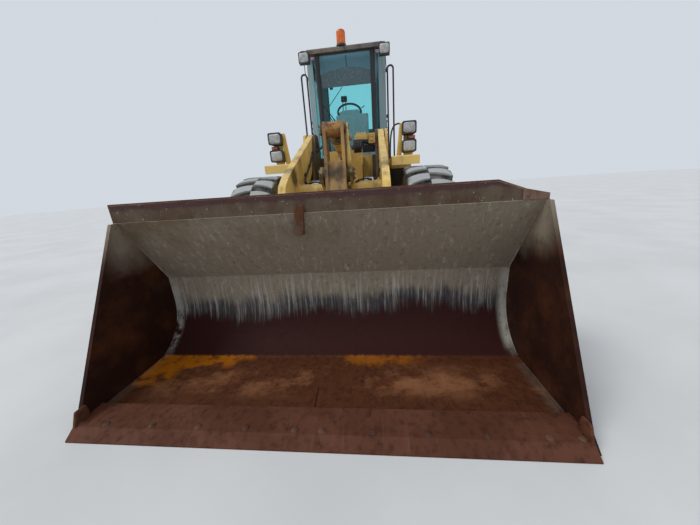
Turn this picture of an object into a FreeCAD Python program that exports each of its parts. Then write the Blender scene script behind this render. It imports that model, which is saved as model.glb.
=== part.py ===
import FreeCAD, Part
import math
import os
import re
import Sketcher

# Articulated wheel loader, in millimetres. +X points forward, +Y to the machine's left, +Z up.
# Every place along X is measured from the articulation axis, and the whole machine is then
# shifted so that the origin lies under the middle of its overall box, on the ground.

SIZES = [
    # overall
    ("front_reach", 4100), ("rear_reach", 3500), ("axle_reach", 1600), ("track", 2040), ("run_gap", 0.3),
    ("move_gap", 5),
    # wheels
    ("tyre_radius", 745), ("tyre_width", 520), ("carcass_radius", 703), ("rim_radius", 330),
    ("wall_rise", 190), ("shoulder_drop", 90), ("lug_count", 20), ("lug_groove", 88), ("rim_wall", 14),
    ("rim_width", 470), ("disc_thick", 22), ("hub_radius", 165), ("hub_out", 150),
    ("spindle_radius", 100), ("spindle_reach", 62),
    # axles
    ("axle_tube_radius", 115), ("diff_radius", 215), ("flange_radius", 165), ("flange_thick", 30),
    ("trunnion_radius", 120), ("trunnion_reach", 330),
    # articulation
    ("hitch_pin_radius", 45), ("lug_thick", 30), ("tongue_thick", 59.4), ("upper_hitch_low", 1080),
    ("lower_hitch_low", 510), ("hitch_nose", 60), ("frame_end", 350),
    # rear frame
    ("rail_space", 285), ("rail_thick", 30), ("rail_low", 620), ("rail_high", 1100),
    ("weight_deep", 350), ("axle_arch", 930), ("axle_arch_half", 320), ("hanger_thick", 50),
    ("hanger_low", 590), ("beam_wide", 100), ("weight_half", 1150), ("weight_low", 640),
    ("weight_high", 1420), ("weight_notch", 110), ("weight_slope", 170), ("weight_round", 50),
    ("tow_radius", 26), ("tow_in", 70),
    # engine and hood
    ("engine_front", 1750), ("engine_room", 650), ("engine_high", 1800), ("engine_low", 1000),
    ("hood_front", 1420), ("tail_room", 180), ("hood_half", 560), ("hood_low", 1130),
    ("hood_high", 2120), ("hood_tail", 1960), ("hood_wall", 8), ("hood_round", 75), ("hood_hollow", 67),
    ("hatch_front", 1700), ("hatch_room", 600), ("hatch_low", 1590), ("hatch_high", 2010),
    ("hatch_top_gap", 12), ("slot_count", 9), ("slot_wide", 26), ("slot_high", 240),
    ("grille_thick", 30), ("bar_count", 11), ("bar_thick", 14), ("stack_radius", 62),
    ("stack_high", 700), ("intake_radius", 110), ("intake_high", 300),
    # platforms, tanks, steps and rear fenders
    ("tank_front", 400), ("tank_back", 820), ("tank_in", 480), ("tank_out", 960), ("tank_low", 560),
    ("tank_high", 1180), ("step_out", 1170), ("step_thick", 20), ("step_low", 450), ("step_rise", 330),
    ("platform_high", 1530), ("platform_in", 305), ("platform_front", 250), ("fender_out", 1215),
    ("fender_thick", 12), ("fender_high", 1556), ("fender_back", 2350), ("fender_knee", 1010),
    ("fender_foot", 830), ("fender_foot_high", 1290),
    # cab
    ("cab_front", -100), ("cab_back", 1300), ("cab_half", 670), ("cab_low", 1640), ("cab_floor", 1750),
    ("glass_half", 470), ("corner_back", 120), ("sill_high", 1850), ("roof_low", 3390),
    ("roof_high", 3462), ("roof_side", 12), ("roof_round", 30), ("roof_lap", 30), ("post_wide", 88), ("rear_post", 150),
    ("bar_wide", 40), ("glass_thick", 8), ("door_back", 1000), ("door_thick", 42), ("door_frame", 62),
    ("door_low", 1790), ("door_high", 3360), ("cab_rubber", 60), ("door_pin", 9), ("door_knuckle", 15),
    ("knuckle_long", 60), ("hinge_out", 16),
    # cab fittings
    ("seat_x", 800), ("seat_half", 250), ("seat_deep", 480), ("seat_high", 2210), ("cushion_thick", 130),
    ("back_high", 2960), ("back_thick", 120), ("wheel_x", 360), ("wheel_high", 2610),
    ("wheel_radius", 215), ("wheel_rim", 17), ("column_lean", 12), ("wheel_tilt", 26),
    ("dash_high", 2480), ("dash_half", 190), ("rail_radius", 16), ("handrail_low", 1560),
    ("handrail_high", 3220), ("handrail_out", 800), ("roof_lamp_space", 640), ("roof_lamp_size", 165),
    ("roof_lamp_deep", 80), ("beacon_x", -60), ("beacon_y", -40), ("beacon_radius", 75),
    ("beacon_high", 233), ("beacon_foot", 40), ("beacon_dome", 30),
    # front frame
    ("keel_space", 235), ("keel_thick", 30), ("keel_low", 470), ("keel_high", 1250),
    ("keel_front", 1950), ("shaft_radius", 42), ("saddle_high", 875), ("saddle_back", 1400),
    ("bulkhead_x", 580), ("bulkhead_thick", 30), ("bulkhead_high", 1760), ("panel_x", 1100),
    ("panel_thick", 12), ("panel_high", 1790), ("panel_half", 262), ("panel_slot", 1590), ("panel_step", 1596),
    ("slot_half", 95), ("ear_in", 445), ("ear_thick", 35), ("outer_ear_in", 590), ("tower_back", 560),
    ("tower_front", 1260), ("tower_low", 690),
    # front fenders and lamps
    ("guard_in", 630), ("guard_out", 960), ("guard_high", 1620), ("guard_back", 930),
    ("guard_front", 1700), ("guard_lip", 105), ("flap_low", 1130), ("guard_thick", 10), ("lamp_x", 1330),
    ("lamp_y", 868), ("lamp_low", 1748), ("lamp_high", 1960), ("lamp_half", 86), ("lamp_tall", 142),
    ("lamp_deep", 110), ("lamp_corner", 24), ("bracket_thick", 12),
    # lift arms
    ("shoulder_x", 750), ("shoulder_z", 1950), ("shoulder_pin", 60), ("shoulder_boss", 140),
    ("arm_space", 530), ("arm_thick", 80), ("arm_round", 45), ("crank_round", 28), ("ear_round", 50),
    ("hinge_in", 180), ("hinge_z", 420), ("hinge_pin", 42), ("hinge_boss", 100), ("crank_x", 2040),
    ("crank_z", 1440), ("crank_pin", 50), ("tube_x", 1830), ("tube_z", 1260), ("tube_radius", 100),
    ("bracket_in", 150), ("crank_bracket", 30),
    # lift rams
    ("lift_base_x", 420), ("lift_base_z", 790), ("lift_eye_x", 1600), ("lift_eye_z", 1330),
    ("lift_space", 345), ("lift_barrel_end", 1195), ("lift_neck", 90), ("lift_piston", 130),
    ("lift_barrel", 74), ("lift_bore", 60), ("lift_rod", 40), ("lift_pin", 40), ("lift_eye_half", 55),
    ("gland", 40), ("eye_wall", 34), ("piston_long", 60),
    # bell crank, tilt ram and link
    ("top_x", 2030), ("top_z", 1900), ("foot_x", 2295), ("foot_z", 600), ("crank_plate_in", 80),
    ("crank_plate", 34), ("crank_hub", 88), ("tilt_base_x", 690), ("tilt_base_z", 1680),
    ("tilt_barrel", 80), ("tilt_bore", 66), ("tilt_rod", 42), ("tilt_pin", 42), ("tilt_eye_half", 79.7),
    ("tilt_barrel_end", 1150), ("tilt_neck", 95), ("tilt_piston", 620), ("link_in", 120),
    ("link_z", 675), ("link_pin", 50), ("pin_collar", 120), ("collar_thick", 36), ("link_eye", 92),
    ("foot_eye", 66), ("link_deep", 110), ("link_half", 42),
    # steering rams
    ("steer_base_x", 700), ("steer_base_y", 360), ("steer_eye_x", 290), ("steer_eye_y", 335),
    ("steer_z", 620), ("steer_barrel", 46), ("steer_bore", 36), ("steer_rod", 24), ("steer_pin", 22),
    ("steer_eye_half", 36), ("steer_barrel_end", 650), ("steer_neck", 70), ("steer_piston", 315),
    # bucket
    ("bucket_half", 1450), ("shell_thick", 22), ("side_thick", 25), ("edge_thick", 32),
    ("edge_deep", 235), ("edge_bevel", 60), ("bowl_deep", 300), ("back_x", 3050), ("back_low", 420),
    ("back_mid", 640), ("lip_lean", 320), ("lip_z", 1165), ("guard_top", 1297), ("guard_cut_y", 300),
    ("guard_end", 4), ("guard_plate", 16), ("bucket_ear_gap", 10), ("bucket_ear", 36),
    ("link_ear_in", 80),
]

doc = FreeCAD.newDocument("wheel_loader")
sheet = doc.addObject("Spreadsheet::Sheet", "Sizes")
for row, (alias, value) in enumerate(SIZES, 1):
    sheet.set(f"A{row}", alias)
    sheet.set(f"B{row}", str(value))
    sheet.setAlias(f"B{row}", alias)
doc.recompute()

NAMES = {alias for alias, value in SIZES}
# A value that always follows two of the sizes.
TIED = {"rail_back": ("rear_reach", "-", "weight_deep"), "hood_back": ("rear_reach", "-", "tail_room"),
        "engine_back": ("rear_reach", "-", "engine_room"), "hatch_back": ("rear_reach", "-", "hatch_room"),
        "floor_back": ("back_x", "+", "bowl_deep"), "lip_x": ("back_x", "+", "lip_lean"),
        "hinge_x": ("back_x", "-", "hinge_in"), "link_x": ("back_x", "-", "link_in")}
SHIFT = "(rear_reach - front_reach) / 2"
VECTOR = FreeCAD.Vector
finished = []


def size(alias):
    if alias in TIED:
        first, sign, second = TIED[alias]
        return size(first) + (size(second) if sign == "+" else -size(second))
    return float(getattr(sheet, alias))


def bound(text):
    for word, meaning in TIED.items():
        text = text.replace(word, f"({' '.join(meaning)})")
    return re.sub(r"[a-z_]+", lambda word: f"Sizes.{word[0]}" if word[0] in NAMES else word[0], text)


def bind(thing, **texts):
    for key, text in texts.items():
        thing.setExpression(key.replace("__", "."), bound(text))
    return thing


def place(thing, at, shift=True):
    x, y, z = at
    bind(thing, Placement__Base__x=f"{SHIFT} + {x}" if shift else x, Placement__Base__y=y, Placement__Base__z=z)
    return thing


# Building blocks: a box from its low corner, a cylinder from the middle of its low end, and a
# flat outline thickened along the third axis, all tied to the sheet.

def box(name, at, extent):
    thing = doc.addObject("Part::Box", name)
    bind(thing, Length=extent[0], Width=extent[1], Height=extent[2])
    return place(thing, at)


AXES = {"x": VECTOR(1, 0, 0), "y": VECTOR(0, 1, 0), "z": VECTOR(0, 0, 1)}


def rod(name, axis, at, radius, length):
    thing = doc.addObject("Part::Cylinder", name)
    thing.Placement = FreeCAD.Placement(VECTOR(), FreeCAD.Rotation(VECTOR(0, 0, 1), AXES[axis]))
    bind(thing, Radius=radius, Height=length)
    return place(thing, at)


PLANES = {"side": "XZ_Plane", "plan": "XY_Plane", "front": "YZ_Plane"}


def outline(name, view, corners, thick, middle="0"):
    body = doc.addObject("PartDesign::Body", name)
    sketch = body.newObject("Sketcher::SketchObject", name + "_outline")
    plane = next(part for part in body.Origin.OriginFeatures if part.Role == PLANES[view])
    sketch.AttachmentSupport = (plane, [""])
    sketch.MapMode = "FlatFace"
    count = len(corners)
    ring = [VECTOR(1000 * math.cos(2 * math.pi * k / count), 1000 * math.sin(2 * math.pi * k / count), 0)
            for k in range(count)]
    for k in range(count):
        sketch.addGeometry(Part.LineSegment(ring[k], ring[(k + 1) % count]))
    for k in range(count):
        sketch.addConstraint(Sketcher.Constraint("Coincident", k, 2, (k + 1) % count, 1))
    for k, corner in enumerate(corners):
        for kind, text in zip(("DistanceX", "DistanceY"), corner):
            number = sketch.addConstraint(Sketcher.Constraint(kind, -1, 1, k, 1, 10.0))
            sketch.setExpression(f"Constraints[{number}]", bound(text))
    pad = body.newObject("PartDesign::Pad", name + "_pad")
    pad.Profile = sketch
    pad.SideType = "Symmetric"
    bind(pad, Length=thick)
    offset = {"side": ("0", middle, "0"), "plan": ("0", "0", middle), "front": (middle, "0", "0")}[view]
    return place(body, offset)


def joined(name, things):
    fused = doc.addObject("Part::MultiFuse", name)
    fused.Shapes = things
    return fused


def cut(name, base, tools):
    result = doc.addObject("Part::Cut", name)
    result.Base = base
    result.Tool = tools[0] if len(tools) == 1 else joined(name + "_tools", tools)
    return result


def rounded(name, source, wanted, radius):
    doc.recompute()
    result = doc.addObject("Part::Fillet", name)
    result.Base = source
    reach = size(radius)
    result.Edges = [(k, reach, reach) for k, edge in enumerate(source.Shape.Edges, 1) if wanted(edge)]
    return result


def across(edge):
    return abs(edge.tangentAt(edge.FirstParameter).y) > 0.99


def lengthwise(edge):
    return abs(edge.tangentAt(edge.FirstParameter).x) > 0.99


def group(name, things):
    result = doc.addObject("Part::Compound", name)
    result.Links = things
    return result


def mirrored(name, source):
    result = doc.addObject("Part::Mirroring", name)
    result.Source = source
    result.Normal = VECTOR(0, 1, 0)
    return result


def pair(name, source):
    return [source, mirrored(name + "_mirror", source)]


def shaped(name, shape):
    thing = doc.addObject("Part::Feature", name)
    thing.Shape = shape
    shift = FreeCAD.Placement(VECTOR((size("rear_reach") - size("front_reach")) / 2, 0, 0), FreeCAD.Rotation())
    thing.Placement = shift.multiply(shape.Placement)
    return thing


def finish(label, thing):
    thing.Label = label
    finished.append(thing)
    return thing


SIDES = (("left", 1), ("right", -1))


# Wheels: a cross-ply earthmover tyre with bars across the tread, on a dished rim.

def tyre_shape():
    radius, carcass, half = size("tyre_radius"), size("carcass_radius"), size("tyre_width") / 2
    bead = size("rim_radius")
    rim_half = size("rim_width") / 2
    wall = [(bead, -rim_half), (bead + 60, -rim_half - 8), (bead + size("wall_rise"), -half),
            (carcass - size("shoulder_drop"), -half + 4),
            (radius - 14, -half + 44), (radius, -half + 130)]
    corners = wall + [(r, -y) for r, y in reversed(wall)]
    points = [VECTOR(0, y, r) for r, y in corners]
    ring = Part.Face(Part.makePolygon(points + [points[0]])).revolve(VECTOR(), VECTOR(0, 1, 0), 360)
    grooves = []
    count = int(size("lug_count"))
    for k in range(count):
        for side in (-1, 1):
            groove = Part.makeBox(size("lug_groove"), half * 1.3, radius, VECTOR(-size("lug_groove") / 2, 0, carcass))
            groove.rotate(VECTOR(0, 0, carcass), VECTOR(0, 0, 1), 26)
            groove.translate(VECTOR(0, 12, 0))
            if side < 0:
                groove = groove.mirror(VECTOR(), VECTOR(0, 1, 0))
            groove.rotate(VECTOR(), VECTOR(0, 1, 0), 360.0 * (k + (0.75 if side > 0 else 0.25)) / count)
            grooves.append(groove)
    return ring.cut(grooves)


def rim_shape():
    outer, wall, half = size("rim_radius") - size("run_gap"), size("rim_wall"), size("rim_width") / 2
    hub, spindle, disc = size("hub_radius"), size("spindle_radius") + size("run_gap"), size("disc_thick")
    reach, hub_out = size("spindle_reach") + size("run_gap"), size("hub_out")
    corners = [(outer - wall, -half + 6), (outer, -half), (outer, half), (outer - wall, half),
               (outer - wall, 80 + disc), (hub + 60, 30 + disc), (hub, 30 + disc), (hub, hub_out - 30), (hub - 45, hub_out),
               (0, hub_out), (0, reach), (spindle, reach), (spindle, -60), (hub, -60), (hub, 30), (hub + 60, 30),
               (outer - wall, 80)]
    points = [VECTOR(0, y, r) for r, y in corners]
    return Part.Face(Part.makePolygon(points + [points[0]])).revolve(VECTOR(), VECTOR(0, 1, 0), 360)


def wheels():
    tyre, rim = tyre_shape(), rim_shape()
    for end, x in (("front", size("axle_reach")), ("rear", -size("axle_reach"))):
        for name, side in SIDES:
            for kind, shape in (("tyre", tyre), ("rim", rim)):
                copy = shape.copy() if side > 0 else shape.mirror(VECTOR(), VECTOR(0, 1, 0))
                copy.translate(VECTOR(x, side * size("track") / 2, size("tyre_radius")))
                finish(f"{kind}_{end}_{name}", shaped(f"{kind}_{end}_{name}", copy))


def axle(name, x):
    parts = [rod(f"{name}_tube", "y", (x, "-track / 2 + 130", "tyre_radius"), "axle_tube_radius", "track - 260")]
    diff = doc.addObject("Part::Sphere", f"{name}_diff")
    bind(diff, Radius="diff_radius")
    parts.append(place(diff, (x, "0", "tyre_radius")))
    for side, y in (("left", "track / 2 - 130"), ("right", "-track / 2 + 130 - flange_thick")):
        parts.append(rod(f"{name}_flange_{side}", "y", (x, y, "tyre_radius"), "flange_radius", "flange_thick"))
    parts.append(rod(f"{name}_spindle", "y", (x, "-track / 2 - spindle_reach", "tyre_radius"), "spindle_radius",
                     "track + 2 * spindle_reach"))
    return parts


# Rear frame: two rails joined by cross plates, with the twin hitch lugs, their pins, the axle
# hangers and the steering ram ears.

def hitch_lug(name, low):
    return outline(name, "plan", [("-frame_end - 10", "-240"), ("-frame_end - 10", "240"), ("-20", "100"),
                                  ("hitch_nose - 20", "70"), ("hitch_nose", "30"), ("hitch_nose", "-30"),
                                  ("hitch_nose - 20", "-70"), ("-20", "-100")],
                   "lug_thick", f"{low} + lug_thick / 2")


def rear_frame():
    rail = outline("rail", "side", [("-frame_end", "keel_low"), ("-1080", "keel_low"),
                                    ("-axle_reach + axle_arch_half + 10", "axle_arch"),
                                    ("-axle_reach - axle_arch_half - 10", "axle_arch"), ("-2120", "rail_low"),
                                    ("-rail_back", "rail_low"), ("-rail_back", "rail_high"),
                                    ("-1150", "rail_high"), ("-920", "upper_hitch_low + 120"),
                                    ("-frame_end", "upper_hitch_low + 120")],
                   "rail_thick", "rail_space")
    parts = pair("rail", rail)
    parts.append(box("hitch_plate", ("-frame_end - rail_thick", "-rail_space", "keel_low"),
                     ("rail_thick", "2 * rail_space", "upper_hitch_low + 120 - keel_low")))
    for name, low in (("upper", "upper_hitch_low"), ("lower", "lower_hitch_low")):
        parts.append(hitch_lug(name + "_lug_low", f"{low} - lug_thick - run_gap"))
        parts.append(hitch_lug(name + "_lug_high", f"{low} + tongue_thick + run_gap"))
        parts.append(rod(name + "_hitch_pin", "z", ("0", "0", f"{low} - lug_thick - 8"), "hitch_pin_radius",
                         "tongue_thick + 2 * lug_thick + 16"))
    for name, x in (("front", "-axle_reach + trunnion_reach - hanger_thick"), ("back", "-axle_reach - trunnion_reach")):
        hanger = box(f"hanger_{name}", (x, "-rail_space", "hanger_low"),
                     ("hanger_thick", "2 * rail_space", "axle_arch + beam_wide / 2 - hanger_low"))
        bore = rod(f"hanger_bore_{name}", "x", (f"{x} - 5", "0", "tyre_radius"), "trunnion_radius + run_gap",
                   "hanger_thick + 10")
        parts.append(cut(f"hanger_{name}_bored", hanger, [bore]))
    parts.append(box("tail_plate", ("-rail_back", "-rail_space", "rail_low"),
                     ("rail_thick", "2 * rail_space", "rail_high - rail_low")))
    for name, side in SIDES:
        y = "steer_base_y" if side > 0 else "-steer_base_y"
        for level, low in (("low", "steer_z - steer_eye_half - run_gap - lug_thick"),
                           ("high", "steer_z + steer_eye_half + run_gap")):
            tip = rod(f"steer_base_{name}_{level}", "z", ("-steer_base_x", y, low), "steer_pin + 28", "lug_thick")
            root_y = "rail_space" if side > 0 else "-steer_base_y"
            root = box(f"steer_root_{name}_{level}", ("-steer_base_x - 50", root_y, low),
                       ("100", "steer_base_y - rail_space", "lug_thick"))
            parts += [tip, root]
        parts.append(rod(f"steer_base_pin_{name}", "z", ("-steer_base_x", y, "steer_z - steer_eye_half - lug_thick"),
                         "steer_pin", "2 * steer_eye_half + 2 * lug_thick"))
    for name, x in (("front", "-frame_end - 130"), ("back", "-cab_back + 130")):
        for side, y in (("left", "rail_space - rail_thick"), ("right", "-rail_space")):
            parts.append(box(f"cab_post_{name}_{side}", (x, y, "upper_hitch_low"),
                             ("120", "rail_thick", "cab_low - cab_rubber - upper_hitch_low")))
    for name, x in (("front", "-hood_front - 2 * beam_wide"), ("back", "-rail_back")):
        parts.append(box(f"hood_beam_{name}", (x, "-hood_half", "rail_high - 10"),
                         ("beam_wide", "2 * hood_half", "hood_low - rail_high + 10")))
    windows = [box(f"ram_window_{name}", ("-frame_end - 290", y, "steer_z - steer_barrel - 8"),
                   ("300", "105", "2 * steer_barrel + 16")) for name, y in (("left", "205"), ("right", "-310"))]
    finish("rear_frame", cut("rear_frame", joined("rear_solid", parts), windows))
    axle_parts = axle("rear_axle", "-axle_reach")
    axle_parts.append(rod("trunnion", "x", ("-axle_reach - trunnion_reach", "0", "tyre_radius"), "trunnion_radius",
                          "2 * trunnion_reach"))
    finish("rear_axle", joined("rear_axle", axle_parts))


def counterweight():
    block = outline("weight_block", "front", [("-weight_half", "weight_low + 130"), ("-weight_half + 170", "weight_low"),
                                              ("weight_half - 170", "weight_low"), ("weight_half", "weight_low + 130"),
                                              ("weight_half", "weight_high - 230"),
                                              ("weight_half - 260", "weight_high"),
                                              ("-weight_half + 260", "weight_high"),
                                              ("-weight_half", "weight_high - 230")],
                    "rear_reach - rail_back", "-(rear_reach + rail_back) / 2")
    block = rounded("weight_curved", block, lengthwise, "weight_round")
    slope = outline("weight_slope", "side", [("-rear_reach - 10", "weight_low - 10"),
                                             ("-rear_reach + weight_slope", "weight_low - 10"),
                                             ("-rear_reach", "weight_low + 330"), ("-rear_reach - 10", "weight_low + 330")],
                    "2 * weight_half + 20")
    notch = box("weight_notch", ("-rear_reach - 10", "-150", "weight_low + 290"), ("120", "300", "weight_notch"))
    hood_room = box("weight_hood_room", ("-rear_reach - 10", "-hood_half - move_gap", "hood_low - move_gap"),
                    ("rear_reach - rail_back + 20", "2 * hood_half + 2 * move_gap", "weight_high"))
    bore = rod("tow_bore", "z", ("-rear_reach + tow_in", "0", "weight_low - 10"), "tow_radius", "weight_high")
    finish("counterweight", cut("counterweight", block, [slope, notch, hood_room, bore]))


# Engine hood: a folded sheet shell, open below and behind, with a hatch in each side.

def hatch_hinge(label, side, x):
    """The hatch's own knuckle, and the fixed knuckles with the pin, along the hatch's top edge."""
    y = "hood_half + hinge_out" if side > 0 else "-hood_half - hinge_out"
    leaf_y = "hood_half" if side > 0 else "-hood_half - hinge_out"
    axis_z = "hatch_high - hatch_top_gap / 2"
    knuckle = rod(f"hatch_knuckle_{label}", "x", (x, y, axis_z), "door_knuckle", "knuckle_long")
    leaf = box(f"hatch_knuckle_leaf_{label}", (x, leaf_y, f"{axis_z} - 60"), ("knuckle_long", "hinge_out", "60"))
    bore = rod(f"hatch_bore_{label}", "x", (f"{x} - 5", y, axis_z), "door_pin + run_gap", "knuckle_long + 10")
    moving = [cut(f"hatch_knuckle_bored_{label}", joined(f"hatch_knuckle_solid_{label}", [knuckle, leaf]), [bore])]
    fixed = [rod(f"hatch_pin_{label}", "x", (f"{x} - 40", y, axis_z), "door_pin", "knuckle_long + 80")]
    for end, start in (("back", f"{x} - 40"), ("front", f"{x} + knuckle_long + run_gap")):
        fixed.append(rod(f"hatch_fixed_{end}_{label}", "x", (start, y, axis_z), "door_knuckle", "40 - run_gap"))
        fixed.append(box(f"hatch_fixed_leaf_{end}_{label}", (start, leaf_y, axis_z), ("40 - run_gap", "hinge_out", "50")))
    return moving, fixed


def hood():
    def profile(name, inset, width):
        return outline(name, "side", [(f"-hood_front - {inset}", "hood_low - 1" if inset != "0" else "hood_low"),
                                      ("-hood_back - 1" if inset != "0" else "-hood_back",
                                       "hood_low - 1" if inset != "0" else "hood_low"),
                                      ("-hood_back - 1" if inset != "0" else "-hood_back", f"hood_tail - {inset}"),
                                      ("-hood_back + 700", f"hood_high - {inset}"),
                                      (f"-hood_front - {inset}", f"hood_high - {inset}")], width)
    low_end = size("hood_tail") - 2 * size("hood_wall")

    def shoulder(edge):
        way = edge.tangentAt(edge.FirstParameter)
        return abs(way.y) < 0.1 and abs(way.z) < 0.9 and edge.BoundBox.ZMin > low_end
    outside = rounded("hood_curved", profile("hood_outside", "0", "2 * hood_half"), shoulder, "hood_round")
    inside = rounded("hood_hollow", profile("hood_inside", "hood_wall", "2 * hood_half - 2 * hood_wall"), shoulder,
                     "hood_hollow")
    hatch = box("hatch_room", ("-hatch_back", "-hood_half - 10", "hatch_low"),
                ("hatch_back - hatch_front", "2 * hood_half + 20", "hatch_high - hatch_low"))
    stack_hole = rod("stack_hole", "z", ("-2050", "-100", "hood_high - 30"), "stack_radius + 4", "60")
    hood_parts = [cut("hood_shell", outside, [inside, hatch, stack_hole])]
    base = box("engine_base", ("-engine_back", "-rail_space + rail_thick / 2", "engine_low"),
               ("engine_back - engine_front", "2 * rail_space - rail_thick", "engine_high - engine_low - 180"))
    head = box("engine_head", ("-engine_back + 120", "-rail_space + 110", "engine_high - 180"),
               ("engine_back - engine_front - 240", "2 * rail_space - 220", "180"))
    finish("engine_block", joined("engine_block", [base, head]))
    for name, side in SIDES:
        y = "hood_half - hood_wall" if side > 0 else "-hood_half"
        leaf = box(f"hatch_leaf_{name}", ("-hatch_back + move_gap", y, "hatch_low + move_gap"),
                   ("hatch_back - hatch_front - 2 * move_gap", "hood_wall",
                    "hatch_high - hatch_low - move_gap - hatch_top_gap"))
        step = "(hatch_back - hatch_front - 320) / slot_count"
        slots = [box(f"hatch_slot_{name}_{k}", (f"-hatch_back + 160 + {k} * {step}", f"{y} - 2",
                                               "hatch_low + 110"), ("slot_wide", "hood_wall + 4", "slot_high"))
                 for k in range(int(size("slot_count")))]
        knuckles = []
        for k, x in enumerate(("-hatch_back + 200", "-hatch_front - 200 - knuckle_long")):
            moving, fixed = hatch_hinge(f"{name}_{k}", side, x)
            knuckles += moving
            hood_parts += fixed
        finish(f"hood_door_{name}", joined(f"hood_door_{name}", [cut(f"hatch_slotted_{name}", leaf, slots)] + knuckles))
    finish("engine_hood", joined("engine_hood", hood_parts))
    frame = box("grille_frame", ("-hood_back - grille_thick", "-hood_half", "hood_low"),
                ("grille_thick", "2 * hood_half", "hood_tail - hood_low"))
    top = size("hood_tail") - 1
    frame = rounded("grille_curved", frame, lambda edge: lengthwise(edge) and edge.BoundBox.ZMin > top, "hood_round")
    window = box("grille_window", ("-hood_back - grille_thick - 5", "-hood_half + 70", "hood_low + 80"),
                 ("grille_thick + 10", "2 * hood_half - 140", "hood_tail - hood_low - 160"))
    bars = [box(f"grille_bar_{k}", ("-hood_back - grille_thick + 6", "-hood_half + 60",
                                    f"hood_low + 80 + ({k} + 0.5) * (hood_tail - hood_low - 160) / bar_count"),
                ("grille_thick - 12", "2 * hood_half - 120", "bar_thick"))
            for k in range(int(size("bar_count")))]
    finish("radiator_grille", joined("radiator_grille", [cut("grille_open", frame, [window])] + bars))
    stack = rod("stack_pipe", "z", ("-2050", "-100", "engine_high"), "stack_radius", "hood_high - engine_high + stack_high")
    bore = rod("stack_bore", "z", ("-2050", "-100", "hood_high + 100"), "stack_radius - 7", "stack_high")
    finish("exhaust_stack", cut("exhaust_stack", stack, [bore]))
    pipe = rod("intake_pipe", "z", ("-1700", "230", "hood_high"), "intake_radius / 2", "intake_high")
    cap = rod("intake_cap", "z", ("-1700", "230", "hood_high + intake_high - 60"), "intake_radius", "150")
    finish("air_intake", joined("air_intake", [pipe, cap]))


# Platforms, tanks, steps and rear fenders, alike on both sides.

def flanks():
    tank = outline("tank", "front", [("tank_in", "tank_low"), ("tank_out - 120", "tank_low"),
                                     ("tank_out", "tank_low + 120"), ("tank_out", "tank_high"), ("tank_in", "tank_high")],
                   "tank_back - tank_front", "-(tank_back + tank_front) / 2")
    plate = box("platform", ("-fender_foot", "platform_in", "platform_high - 30"),
                ("fender_foot - platform_front", "step_out - platform_in", "30"))
    carrier = box("tank_carrier", ("-tank_back", "rail_space + rail_thick / 2", "tank_high - 300"),
                  ("tank_back - tank_front", "tank_in - rail_space - rail_thick / 2", "200"))
    posts = [box(f"platform_post_{k}", (x, "tank_in + 60", "tank_high"), ("60", "tank_out - tank_in - 120",
                                                                        "platform_high - 30 - tank_high"))
             for k, x in enumerate(("-tank_back + 30", "-tank_front - 90"))]
    cheeks = [box(f"step_cheek_{k}", (x, "tank_out", "step_low"), ("step_thick", "step_out - tank_out",
                                                                "platform_high - 30 - step_low"))
              for k, x in enumerate(("-tank_back", "-tank_front - step_thick"))]
    treads = [box(f"step_tread_{k}", ("-tank_back", "tank_out", f"step_low + {k} * step_rise"),
                  ("tank_back - tank_front", "step_out - tank_out", "step_thick")) for k in range(3)]
    side = joined("tank_side", [tank, plate, carrier] + posts + cheeks + treads)
    for name, thing in zip(("left", "right"), pair("tank_side", side)):
        finish(f"steps_{name}", thing)
    sheet_side = outline("fender_sheet", "side", [("-fender_back", "fender_high - fender_thick"),
                                                  ("-fender_knee", "fender_high - fender_thick"),
                                                  ("-fender_foot - fender_thick", "fender_foot_high"),
                                                  ("-fender_foot", "fender_foot_high"),
                                                  ("-fender_knee + fender_thick", "fender_high"),
                                                  ("-fender_back", "fender_high")],
                         "fender_out - hood_half", "(fender_out + hood_half) / 2")
    finish("rear_fenders", group("rear_fenders", pair("fender_sheet", sheet_side)))


# Cab: floor pan, sills, posts and rear wall. The front corners are cut across, so that narrow
# corner panes lie between the windshield and the side doors.

CAB_PLAN = [("-cab_front", "-glass_half"), ("-cab_front", "glass_half"), ("-corner_back", "cab_half"),
            ("-cab_back + 120", "cab_half"), ("-cab_back", "cab_half - 120"), ("-cab_back", "-cab_half + 120"),
            ("-cab_back + 120", "-cab_half"), ("-corner_back", "-cab_half")]


def hinge_lows():
    return [("low", "door_low + 150"), ("high", "door_high - 150 - knuckle_long")]


def cab_hinges(name, sign):
    """Fixed knuckles above and below the door's own, and the pin through all three."""
    parts = []
    axis_x, axis_y = "-door_back - 3", f"{sign}(cab_half + hinge_out)"
    for place_name, low in hinge_lows():
        label = f"{place_name}_{name}"
        parts.append(rod(f"door_pin_{label}", "z", (axis_x, axis_y, f"{low} - 40"), "door_pin", "knuckle_long + 80"))
        for end, start in (("under", f"{low} - 40"), ("over", f"{low} + knuckle_long + run_gap")):
            parts.append(rod(f"fixed_knuckle_{end}_{label}", "z", (axis_x, axis_y, start), "door_knuckle",
                             "40 - run_gap"))
            parts.append(box(f"fixed_leaf_{end}_{label}",
                             ("-door_back - 63", "cab_half" if not sign else "-cab_half - hinge_out", start),
                             ("60", "hinge_out", "40 - run_gap")))
    return parts


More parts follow.
